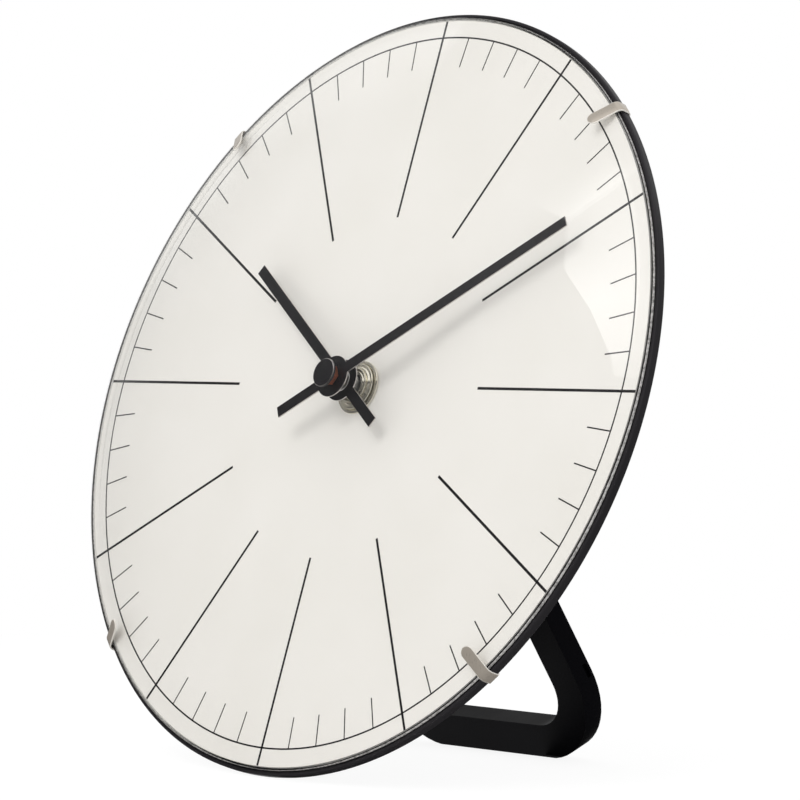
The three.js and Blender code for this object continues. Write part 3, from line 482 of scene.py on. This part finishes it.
def bar_on_dial(angle, inner, outer, width):
    """A printed bar along the direction of a clock angle."""
    along = Vector((math.sin(angle), math.cos(angle)))
    side = Vector((along.y, -along.x)) * width / 2
    corners = [along * inner - side, along * inner + side, along * outer + side, along * outer - side]
    return [(c.x, c.y, z) for z in (PRINT_LOW, PRINT_TOP) for c in corners]


def make_print():
    """Hour lines, minute ticks and the minute circle."""
    box = [[0, 1, 2, 3], [4, 5, 6, 7], [0, 1, 5, 4], [1, 2, 6, 5], [2, 3, 7, 6], [3, 0, 4, 7]]
    middle = CIRCLE_AT * PRINT_R
    verts, faces = [], []
    for i in range(60):
        angle = 2 * math.pi * i / 60
        start = len(verts)
        if i % 5 == 0:
            verts += bar_on_dial(angle, LINE_START * PRINT_R, LINE_END, LINE_W)
        else:
            verts += bar_on_dial(angle, TICK_START * PRINT_R, middle, TICK_W)
        faces += [[v + start for v in face] for face in box]
    inner, outer = middle - CIRCLE_W / 2, middle + CIRCLE_W / 2
    profile = [(inner, PRINT_LOW), (outer, PRINT_LOW), (outer, PRINT_TOP), (inner, PRINT_TOP)]
    ring_verts, ring_faces = lathe_data(profile, TURN, len(verts))
    marks = make("dial_marks", verts + ring_verts, faces + ring_faces, INK, "clock")


# Dome glass


def sphere_arc(radius, reach):
    """Half section of a sphere about the dome's centre, from beside its top out to a reach."""
    span = math.asin(reach / radius)
    angles = (span * i / DOME_STEPS for i in range(1, DOME_STEPS + 1))
    return [(radius * math.sin(a), GLASS_CENTRE + radius * math.cos(a)) for a in angles]


def make_glass():
    """Dome with its lip: the faces and the foot are clear, the edge and the lip's inside are ground; the
    edge's top band is painted shade.
    """
    clear, ground, land, arris = range(4)
    inner = GLASS_SPHERE - GLASS_T
    reach = math.sqrt(inner**2 - (GLASS_UNDER - GLASS_CENTRE) ** 2)
    outer_arc = sphere_arc(GLASS_SPHERE, GLASS_R - ARRIS_IN)
    lip = GLASS_R - GLASS_LIP
    rim = [
        (GLASS_R, ARRIS_TOP), (GLASS_R, ARRIS_TOP - ARRIS_H), (GLASS_R, GLASS_LOW + GLASS_CHAMFER),
        (GLASS_R - GLASS_CHAMFER, GLASS_LOW), (GLASS_R - GLASS_FOOT, GLASS_LOW), (lip, GLASS_LOW),
        (lip, GLASS_UNDER),
    ]
    # The top band of the edge takes the near-black painted shade.
    looks = [clear, arris, ground, ground, ground, clear, land, clear]
    profile = outer_arc + rim + list(reversed(sphere_arc(inner, reach)))
    looks = [clear] * (len(outer_arc) - 1) + looks + [clear] * (len(profile) - len(outer_arc) - len(looks))
    count = len(profile)
    verts, faces, indices = [], [], []
    for i in range(TURN):
        angle = 2 * math.pi * i / TURN
        verts += [(r * math.cos(angle), r * math.sin(angle), z) for r, z in profile]
        here, there = i * count, ((i + 1) % TURN) * count
        faces += [[here + j, there + j, there + j + 1, here + j + 1] for j in range(count - 1)]
        indices += looks[: count - 1]
    for column, height in ((0, GLASS_CENTRE + GLASS_SPHERE), (count - 1, GLASS_CENTRE + inner)):
        middle = len(verts)
        verts.append((0, 0, height))
        faces += [[i * count + column, ((i + 1) % TURN) * count + column, middle] for i in range(TURN)]
        indices += [clear] * TURN
    glass = make("glass_dome", verts, faces, [DOME, GROUND, LAND, ARRIS_SHADE], "clock", indices=indices)
    stands_for(["glass"])


# Clips: a strip swept along a bent line, with a round tip


def clip_line():
    """Centre line of the strip, in the plane of radius and height: over the glass and round the case."""
    off = CLIP_GAP + CLIP_T / 2
    seat_r = CASE_R - CLIP_REACH / 2
    slope = math.asin(seat_r / GLASS_SPHERE)
    outward = Vector((math.sin(slope), math.cos(slope)))
    along = Vector((math.cos(slope), -math.sin(slope)))
    seat = Vector((seat_r, GLASS_CENTRE + GLASS_SPHERE * math.cos(slope))) + outward * off
    tip = seat - along * CLIP_REACH / 2 / math.cos(slope)
    side, hook, floor = CASE_R + off, CASE_R - CASE_WALL - off, CASE_REAR - off
    bend_x = side - CLIP_BEND + outward.x * CLIP_BEND
    bend_start = seat + along * (bend_x - seat.x) / along.x
    corner = bend_start - outward * CLIP_BEND
    flat_steps = 24
    line = [tip + (bend_start - tip) * k / flat_steps for k in range(flat_steps)]
    line += arc(corner.x, corner.y, CLIP_BEND, math.pi / 2 - slope, 0, 16)
    line += arc(side - CLIP_LOW_BEND, floor + CLIP_LOW_BEND, CLIP_LOW_BEND, 0, -math.pi / 2)
    line += arc(hook + CLIP_LOW_BEND, floor + CLIP_LOW_BEND, CLIP_LOW_BEND, -math.pi / 2, -math.pi)
    line.append(Vector((hook, floor + CLIP_LOW_BEND + CLIP_END)))
    fine = [line[0] + (line[1] - line[0]).normalized() * d for d in TIP_STEPS]
    return fine + [p for p in line if (p - line[0]).length > TIP_LENGTH]


def strip_section(travelled):
    """Section of the strip with rounded edges, narrower near its tip."""
    wide, high = CLIP_HALF, CLIP_T / 2
    if travelled < CLIP_HALF:
        wide = max(math.sqrt(CLIP_HALF**2 - (CLIP_HALF - travelled) ** 2), TIP_LEAST)
    corners = [(-wide, -high), (wide, -high), (wide, high), (-wide, high)]
    return fillet(corners, [min(CLIP_EDGE_ROUND, wide * 0.4)] * 4, 2)


def make_clip(index):
    line, verts, faces, indices, travelled = clip_line(), [], [], [], 0.0
    ring = len(strip_section(0))
    for i, point in enumerate(line):
        if i:
            travelled += (point - line[i - 1]).length
        along = (line[min(i + 1, len(line) - 1)] - line[max(i - 1, 0)]).normalized()
        up = Vector((-along.y, along.x))
        for across, lift in strip_section(travelled):
            p = point + up * lift
            verts.append((p.x, across, p.y))
    # The wide faces take the nickel. The narrow sides and rounded edges take the painted highlight.
    wide_sides = (ring // 4 - 1, 3 * ring // 4 - 1)
    for i in range(len(line) - 1):
        for j in range(ring):
            k = (j + 1) % ring
            faces.append([i * ring + j, i * ring + k, (i + 1) * ring + k, (i + 1) * ring + j])
            indices.append(0 if j in wide_sides else 1)
    for end in (0, len(line) - 1):
        faces.append([end * ring + j for j in range(ring)])
        indices.append(1)
    place = CLOCK @ Matrix.Rotation(CLIP_ANGLE + math.pi / 2 * (index - 1), 4, "Z")
    clip = make(f"rim_clip_{index}", verts, faces, [NICKEL, CLIP_EDGE_HIGHLIGHT], "clock", place, 35, indices)
    stands_for([f"glass_clip_{index}"])


# Centre stack


def ring_edge(radius, low, high, corner):
    """Outer edge of a turned ring: a small chamfer below and a round above."""
    top = arc(radius - corner, high - corner, corner, 0, math.pi / 2, 5)
    return [(radius, low + 0.1)] + [tuple(p) for p in top]


def make_centre():
    """Collar of turned rings round the threaded tube."""
    washer = [(HOLE_R, WASHER_LOW), (WASHER_R - 0.15, WASHER_LOW)]
    washer += ring_edge(WASHER_R, WASHER_LOW, WASHER_TOP, 0.2)
    washer += [(WASHER_R - 0.7, WASHER_TOP), (WASHER_R - 0.9, WASHER_FACE), (HOLE_R, WASHER_FACE)]
    part = lathe("dial_washer", washer, COLLAR, "clock", COLLAR_TURN, 25)
    stands_for(["flange_washer"])
    # The nut's face has a turned groove, then a slope with a shallow hollow up to the neck
    nut = [(HOLE_R, NUT_LOW), (NUT_R - 0.1, NUT_LOW)] + ring_edge(NUT_R, NUT_LOW, NUT_STEP, 0.2)
    nut += [(5.62, NUT_STEP), (5.5, NUT_STEP - 0.1), (5.3, NUT_STEP - 0.1), (5.18, -0.14), (4.95, 0.1)]
    nut += [(4.72, 0.14), (4.62, 0.05), (NECK_R, 0.2)] + ring_edge(NECK_R, NECK_LOW, NUT_TOP, 0.18)
    nut += [(NECK_R - 0.22, NUT_TOP), (HOLE_R, NUT_TOP - 0.1)]
    part = lathe("collar_nut", nut, COLLAR, "clock", COLLAR_TURN, 25)
    stands_for(["centre_nut"])
    tube = [(TUBE_BORE, TUBE_BACK), (TUBE_FLANGE_R, TUBE_BACK), (TUBE_FLANGE_R, FLANGE_TOP)]
    tube.append((THREAD_R, FLANGE_TOP))
    for i in range(THREAD_TURNS):
        z = THREAD_START + i * THREAD_PITCH
        tube += [(THREAD_R, z), (THREAD_ROOT, z + THREAD_PITCH / 2)]
    tube += [(THREAD_R, TUBE_END - 0.24), (THREAD_R - 0.18, TUBE_END)]
    tube += [(TUBE_BORE + 0.1, TUBE_END), (TUBE_BORE, TUBE_END - 0.1)]
    part = lathe("centre_tube", tube, COLLAR, "clock", SMALL_TURN, 20)
    stands_for(["bushing"])


def hand_outline(length, tail, width, tip_width):
    """Bar with a round boss, going counter-clockwise from the tail."""
    half, tip = width / 2, tip_width / 2
    root = math.asin(half / BOSS_R)
    angles = (root + (math.pi - 2 * root) * i / BOSS_STEPS for i in range(BOSS_STEPS + 1))
    right = [(BOSS_R * math.sin(a), -BOSS_R * math.cos(a)) for a in angles]
    left = [(-x, y) for x, y in reversed(right)]
    return [(-half, -tail), (half, -tail)] + right + [(tip, length), (-tip, length)] + left


def make_hand(name, node, body, angle, outline, bore, low):
    verts, faces = prism_data([outline, circle(bore, 40)], low, low + HAND_T)
    indices = [0 if len(face) == 3 else 1 for face in faces]
    place = CLOCK @ Matrix.Rotation(-angle, 4, "Z")
    hand = make(name, verts, faces, [HAND_BLACK, CUT_EDGE], body, place, indices=indices)
    soften(hand, HAND_ROUND)
    stands_for([node])


def make_hands():
    minute = math.radians(60.25)
    hour = math.radians(300) + minute / 12
    hour_shape = hand_outline(length=52.2, tail=18.9, width=2.9, tip_width=2.9)
    minute_shape = hand_outline(length=80.6, tail=20.0, width=3.0, tip_width=2.7)
    make_hand("hour_bar", "hour_hand", "hour_hand_body", hour, hour_shape, bore=3.0, low=4.3)
    make_hand("minute_bar", "minute_hand", "minute_hand_body", minute, minute_shape, bore=2.0, low=7.5)
    outlines = [circle(HAND_NUT_R, 6), circle(HAND_NUT_BORE, 36)]
    nut = make("hand_nut", *prism_data(outlines, HAND_NUT_LOW, HAND_NUT_TOP), COPPER, "minute_hand_body")
    soften(nut, 0.12)
    stands_for(["minute_nut"])


def make_cap():
    """Button on its stem, with a bright turned bevel round its face."""
    pinhole = 0.02
    button = [(CAP_R - CAP_ROUND, CAP_TOP), (CAP_R, CAP_TOP - 0.19), (CAP_R, CAP_LOW + 0.12)]
    button += [(CAP_R - 0.13, CAP_LOW), (CAP_STEM_R + 0.1, CAP_LOW)]
    stem = [(CAP_STEM_R, CAP_LOW - 0.08), (CAP_STEM_R, CAP_STEM_LOW + 0.1), (CAP_STEM_R - 0.1, CAP_STEM_LOW)]
    stem += [(CAP_BORE + 0.1, CAP_STEM_LOW), (CAP_BORE, CAP_STEM_LOW + 0.05)]
    cap = button + stem + [(CAP_BORE, CAP_BORE_TOP), (pinhole, CAP_BORE_TOP), (pinhole, CAP_TOP)]
    verts, faces = lathe_data(cap, SMALL_TURN)
    indices = [1 if i % len(cap) == 0 else 0 for i in range(len(faces))]
    looks = [HAND_BLACK, CUT_EDGE]
    part = make("cap_button", verts, faces, looks, "seconds_body", sharp=25, indices=indices)
    stands_for(["centre_cap"])


# Stand


def stand_reach():
    """Distance down the stand from the hinge axis to the middle of its floor face."""
    return (HINGE[2] / MM - STAND_T / 2 * math.sin(FOOT_LEAN)) / math.cos(FOOT_LEAN)


def stand_outlines():
    """Loop outline and its hole, x across and y up from the hinge axis."""
    slope = math.tan(LEG_LEAN)
    reach = stand_reach()
    shift = FOOT_SPARE / math.cos(FOOT_LEAN)
    low, high = -reach - shift, -STAND_TOP_DROP
    bottom, top = STAND_BASE + slope * shift, STAND_BASE - slope * (reach - STAND_TOP_DROP)
    side = STAND_BAR / math.cos(LEG_LEAN)
    inner_low, inner_high = low + STAND_BAR + shift, high - STAND_BAR
    inner_base = bottom - slope * (inner_low - low) - side
    inner_top = bottom - slope * (inner_high - low) - side
    loop = fillet([(-bottom, low), (bottom, low), (top, high), (-top, high)], LOOP_ROUNDS, 14)
    hole = [(-inner_base, inner_low), (-inner_top, inner_high)]
    hole += [(inner_top, inner_high), (inner_base, inner_low)]
    return loop, fillet(hole, HOLE_ROUNDS, 12)


def cut_at_floor(verts, faces):
    """Loop cut off along the floor, with its flat foot closed."""
    bm = bmesh.new()
    points = [bm.verts.new(v) for v in verts]
    for face in faces:
        bm.faces.new([points[i] for i in face])
    bmesh.ops.recalc_face_normals(bm, faces=bm.faces)
    bmesh.ops.dissolve_limit(bm, angle_limit=math.radians(0.5), verts=bm.verts, edges=bm.edges)
    normal = Vector((0, math.cos(FOOT_LEAN), -math.sin(FOOT_LEAN)))
    everything = bm.verts[:] + bm.edges[:] + bm.faces[:]
    spot = normal * (-HINGE[2] / MM)
    cut = bmesh.ops.bisect_plane(bm, geom=everything, plane_co=spot, plane_no=normal, clear_inner=True)
    edges = [e for e in cut["geom_cut"] if isinstance(e, bmesh.types.BMEdge)]
    bmesh.ops.edgeloop_fill(bm, edges=edges)
    bmesh.ops.recalc_face_normals(bm, faces=bm.faces)
    bm.verts.index_update()
    verts = [tuple(v.co) for v in bm.verts]
    faces = [[v.index for v in f.verts] for f in bm.faces]
    bm.free()
    return verts, faces


def tongue_data():
    """The tongue's side outline, rounded about the hinge pin, pushed across its width."""
    half, root = STAND_T / 2, -STAND_TOP_DROP - TONGUE_OVERLAP
    nose = [(half * math.cos(a), half * math.sin(a)) for a in (math.pi * i / 20 for i in range(21))]
    outline = [(-half, root), (half, root)] + nose
    verts, faces = prism_data([outline, circle(PIN_BORE, 32)], -TONGUE_HALF, TONGUE_HALF)
    return [(across, up, out) for out, up, across in verts], faces


def cut_leg_slot(stand):
    """The small pocket in the outer side of the right leg."""
    low = STAND_T / 2 - SLOT_SETBACK - SLOT_W
    depths, levels = (-SLOT_DEPTH, 1.0), (low, low + SLOT_W)
    ends = (SLOT_RISE - SLOT_LENGTH / 2, SLOT_RISE + SLOT_LENGTH / 2)
    corners = [Vector((x, y, z)) * MM for x in depths for y in ends for z in levels]
    mesh = bpy.data.meshes.new("slot")
    sides = [[0, 1, 3, 2], [4, 6, 7, 5], [0, 4, 5, 1], [2, 3, 7, 6], [0, 2, 6, 4], [1, 5, 7, 3]]
    mesh.from_pydata(corners, [], sides)
    cutter = add_object("slot", mesh)
    place = Matrix.Translation(Vector((STAND_BASE, -stand_reach(), 0)) * MM)
    cutter.matrix_world = STAND @ place @ Matrix.Rotation(LEG_LEAN, 4, "Z")
    cut = stand.modifiers.new("slot", "BOOLEAN")
    cut.object = cutter
    cut.solver = "EXACT"
    cut.use_self = True
    bpy.context.view_layer.update()
    stand.data = bpy.data.meshes.new_from_object(stand.evaluated_get(bpy.context.evaluated_depsgraph_get()))
    stand.modifiers.clear()
    bpy.data.objects.remove(cutter)


def make_stand():
    verts, faces = cut_at_floor(*prism_data(stand_outlines(), -STAND_T / 2, STAND_T / 2))
    tongue_verts, tongue_faces = tongue_data()
    start = len(verts)
    verts += tongue_verts
    faces += [[v + start for v in f] for f in tongue_faces]
    stand = make("stand_loop", verts, faces, STAND_BLACK, "stand_body", STAND)
    cut_leg_slot(stand)
    soften(stand, STAND_ROUND, 3, 35)
    stands_for(["stand"])


# Pieces kept from the frame get their finish here

FINISHES = {
    "rubber_washer": RUBBER,
    "movement_front_shell": SHELL_BLACK,
    "movement_rear_shell": SHELL_BLACK,
    "train_plate": PALE,
    "hour_wheel": STEEL,
    "minute_pipe": BRASS,
    "centre_wheel": PALE,
    "seconds_wheel": BRASS,
    "third_wheel": PALE,
    "intermediate_wheel": PALE,
    "rotor": STEEL,
    "motion_wheel": PALE,
    "setting_knob": PALE,
    "stator": STEEL,
    "coil": WIRE,
    "circuit_board": BOARD,
    "quartz_crystal": STEEL,
    "battery": SLEEVE,
    "positive_contact": NICKEL,
    "negative_contact": NICKEL,
    "stand_bracket": CASE_BLACK,
    "hinge_pin": STEEL,
    "bracket_screw_1": STEEL,
    "bracket_screw_2": STEEL,
}
SOFT_EDGES = {
    "movement_front_shell": 0.3,
    "movement_rear_shell": 0.3,
    "stand_bracket": 0.2,
    "setting_knob": 0.2,
    "hinge_pin": 0.2,
}


def dress_frame():
    for node, material in FINISHES.items():
        thing = frame["nodes"][node]
        if not thing.material_slots:
            thing.data.materials.append(None)
        for holder in thing.material_slots:
            holder.material = material
        if node in SOFT_EDGES:
            soften(thing, SOFT_EDGES[node], angle=35)


# Stage, light and camera. Lengths are in metres from here on.

FLOOR_R, FLOOR_FADE = 6, (0.16, 0.4)
AMBIENT, CARD_LIGHT = 0.83, 2.3
CARD_R, WINDOW_R, CARD_STEP = 1.0, 0.97, 2.5


def seen_rays(n):
    """1 for what the camera sees, straight or in glass and metal."""
    path = n.add("ShaderNodeLightPath")
    pair = n.add("ShaderNodeMath", operation="MAXIMUM")
    n.link(path.outputs["Is Camera Ray"], pair.inputs[0])
    n.link(path.outputs["Is Transmission Ray"], pair.inputs[1])
    all_three = n.add("ShaderNodeMath", operation="MAXIMUM")
    n.link(pair.outputs["Value"], all_three.inputs[0])
    n.link(path.outputs["Is Glossy Ray"], all_three.inputs[1])
    return all_three.outputs["Value"]


def white_glow(n, strength):
    glow = n.add("ShaderNodeEmission")
    glow.inputs["Color"].default_value = (1, 1, 1, 1)
    glow.inputs["Strength"].default_value = strength
    return glow.outputs["Emission"]


def floor_paint(n, grain, dark, light):
    paint = n.principled(Roughness=0.9, Specular_IOR_Level=0.0)
    n.link(n.ramp(grain, [(0.3, grey(dark)), (0.7, grey(light))]), paint.inputs["Base Color"])
    return paint.outputs["BSDF"]


def make_floor():
    """White floor that keeps a light shadow of the clock and runs out to plain white."""
    mesh = bpy.data.meshes.new("floor")
    mesh.from_pydata([(FLOOR_R * x, FLOOR_R * y, 0) for x, y in circle(1, 64)], [], [list(range(64))])
    floor = add_object("floor", mesh)
    n = Nodes("floor_white")
    grain = n.noise(300)
    matt, faint = floor_paint(n, grain, 0.9, 0.93), floor_paint(n, grain, 0.15, 0.16)
    near = n.add("ShaderNodeAddShader")
    n.link(faint, near.inputs[0])
    n.link(white_glow(n, 0.9), near.inputs[1])
    length = n.add("ShaderNodeVectorMath", operation="LENGTH")
    n.link(n.place(), length.inputs[0])
    far_share = n.spread(length.outputs["Value"], 0.0, 1.0, *FLOOR_FADE)
    shown = n.mix(far_share, near.outputs["Shader"], white_glow(n, 1.0))
    mesh.materials.append(n.finish(n.mix(seen_rays(n), matt, shown)))


def make_world():
    """White where it is seen or mirrored, and a soft even light on what is matt."""
    bpy.context.scene.world = bpy.data.worlds.new("studio")
    n = Nodes("studio", bpy.context.scene.world)
    soft, white = n.add("ShaderNodeBackground"), n.add("ShaderNodeBackground")
    soft.inputs["Strength"].default_value = AMBIENT
    for part in (soft, white):
        part.inputs["Color"].default_value = (1, 1, 1, 1)
    n.finish(n.mix(seen_rays(n), soft.outputs["Background"], white.outputs["Background"]))


def card(name, points, faces, stops, low, high, along=(0, 0, 1)):
    """Studio card that only mirrors show. Its brightness changes along one direction."""
    mesh = bpy.data.meshes.new(name)
    mesh.from_pydata(points, [], faces)
    thing = add_object(name, mesh)
    thing.location = DIAL_CENTRE
    n = Nodes(name)
    level = n.add("ShaderNodeVectorMath", operation="DOT_PRODUCT")
    n.link(n.place(), level.inputs[0])
    level.inputs[1].default_value = along
    glow = n.add("ShaderNodeEmission")
    share = n.spread(level.outputs["Value"], 0.0, 1.0, low, high)
    n.link(n.ramp(share, [(position, grey(tone)) for position, tone in stops]), glow.inputs["Color"])
    glow.inputs["Strength"].default_value = CARD_LIGHT
    material = n.finish(glow.outputs["Emission"])
    material.cycles.emission_sampling = "NONE"
    mesh.materials.append(material)
    for kind in ("camera", "diffuse", "shadow", "transmission"):
        setattr(thing, f"visible_{kind}", False)


def on_sphere(azimuth, elevation, radius=CARD_R):
    """Point round the dial's centre. Angles in degrees, azimuth from x towards y."""
    a, e = math.radians(azimuth), math.radians(elevation)
    return (radius * math.cos(e) * math.cos(a), radius * math.cos(e) * math.sin(a), radius * math.sin(e))


def shell(start, end, low, high):
    """Part of a sphere, between two azimuths and two elevations."""
    across, rows = round((end - start) / CARD_STEP), round((high - low) / CARD_STEP)
    points, faces = [], []
    for i in range(across + 1):
        points += [on_sphere(start + CARD_STEP * i, low + CARD_STEP * j) for j in range(rows + 1)]
    for i in range(across):
        for j in range(rows):
            a = i * (rows + 1) + j
            faces.append([a, a + rows + 1, a + rows + 2, a + 1])
    return points, faces


def make_surround():
    """Dark cards round the front and the sides, over the clock and just above the floor."""
    left, corner, right, floor_edge, top = -205, -165, 70, -7.5, 50
    ceiling_end, ceiling_top = -55, 80
    stops = [(0.34, 0.03), (0.58, 0.07), (0.75, 0.11), (0.83, 0.14), (1.0, 0.17)]
    card("surround", *shell(corner, right, floor_edge, top), stops, -0.1, 0.8)
    stops = [(0.21, 0.03), (0.36, 0.07), (0.47, 0.13), (0.625, 0.15)]
    stops += [(0.76, 0.19), (0.87, 0.32), (0.96, 0.37)]
    card("left_screen", *shell(left, corner, floor_edge, top), stops, -0.516, 0.924, (0, 1.6, 1))
    card("ceiling", *shell(left, ceiling_end, top, ceiling_top), [(0.0, 0.15), (1.0, 0.15)], 0, 1)
    step, apron_height = 5, 0.0006
    steps, level = (right - left) // step, apron_height - DIAL_CENTRE[2]
    apron = [(0, 0, level)] + [on_sphere(left + step * i, 0)[:2] + (level,) for i in range(steps + 1)]
    card("apron", apron, [[0, i + 1, i + 2] for i in range(steps)], [(0.0, 0.02), (1.0, 0.02)], -1, 1)


def make_window():
    """Bright window that the glass mirrors at its right, and the fainter pane beside it.

    Corners are azimuth and elevation in degrees."""
    shared = [(-99.9, 54.2), (-95.7, 58.9), (-89.4, 64.2), (-84, 68)]
    window = [(-62, 70), (-54, 50), (-60, 30), (-76.7, 32.4), (-78.2, 35.4), (-84.7, 41.9), (-93.9, 47.1)]
    pane = [(-103, 69), (-113, 63.5), (-113, 54.5)]
    levels = [(0.0, 0.4), (0.1, 0.45), (0.2, 0.8), (0.4, 0.95)]
    levels += [(0.5, 0.8), (0.6, 0.64), (0.7, 0.54), (1.0, 0.45)]
    pane_levels = [(0.0, 0.95), (0.25, 0.62), (0.6, 0.32), (1.0, 0.16)]
    for name, corners, stops, low, high, along in (
        ("window", window, levels, 0.5, 0.9, (0, 0, 1)),
        ("pane", pane, pane_levels, 0.0, 0.12, (-0.844, 0.481, 0.239)),
    ):
        points = [on_sphere(a, e, WINDOW_R) for a, e in shared + corners]
        card(name, points, [list(range(len(points)))], stops, low, high, along)


def aim(thing, target):
    direction = Vector(target) - thing.location
    thing.rotation_euler = direction.to_track_quat("-Z", "Y").to_euler()


def make_lamp(name, place, target, size, power):
    light = bpy.data.lights.new(name, "AREA")
    light.shape = "SQUARE"
    light.size = size
    light.energy = power
    lamp = add_object(name, light)
    lamp.location = place
    aim(lamp, target)
    lamp.visible_glossy = False


def make_camera():
    """Camera at the front right, level with the dial's centre."""
    data = bpy.data.cameras.new("camera")
    data.sensor_width = 36
    data.lens = 167.5
    data.clip_end = 50
    camera = add_object("camera", data)
    camera.location = Vector(DIAL_CENTRE) + Vector((0.7034, -0.6225, 0.0164))
    aim(camera, camera.location + Vector((-0.740501, 0.671707, -0.021245)))
    bpy.context.scene.camera = camera


make_case()
make_dial()
make_print()
make_glass()
for number in range(1, CLIPS + 1):
    make_clip(number)
make_centre()
make_hands()
make_cap()
make_stand()
dress_frame()
make_floor()
make_world()
make_surround()
make_window()
make_lamp("key", place=(0.3, -0.85, 0.73), target=(0, -0.01, 0.096), size=0.48, power=3.2)
make_camera()

bpy.context.scene.view_settings.view_transform = "Standard"
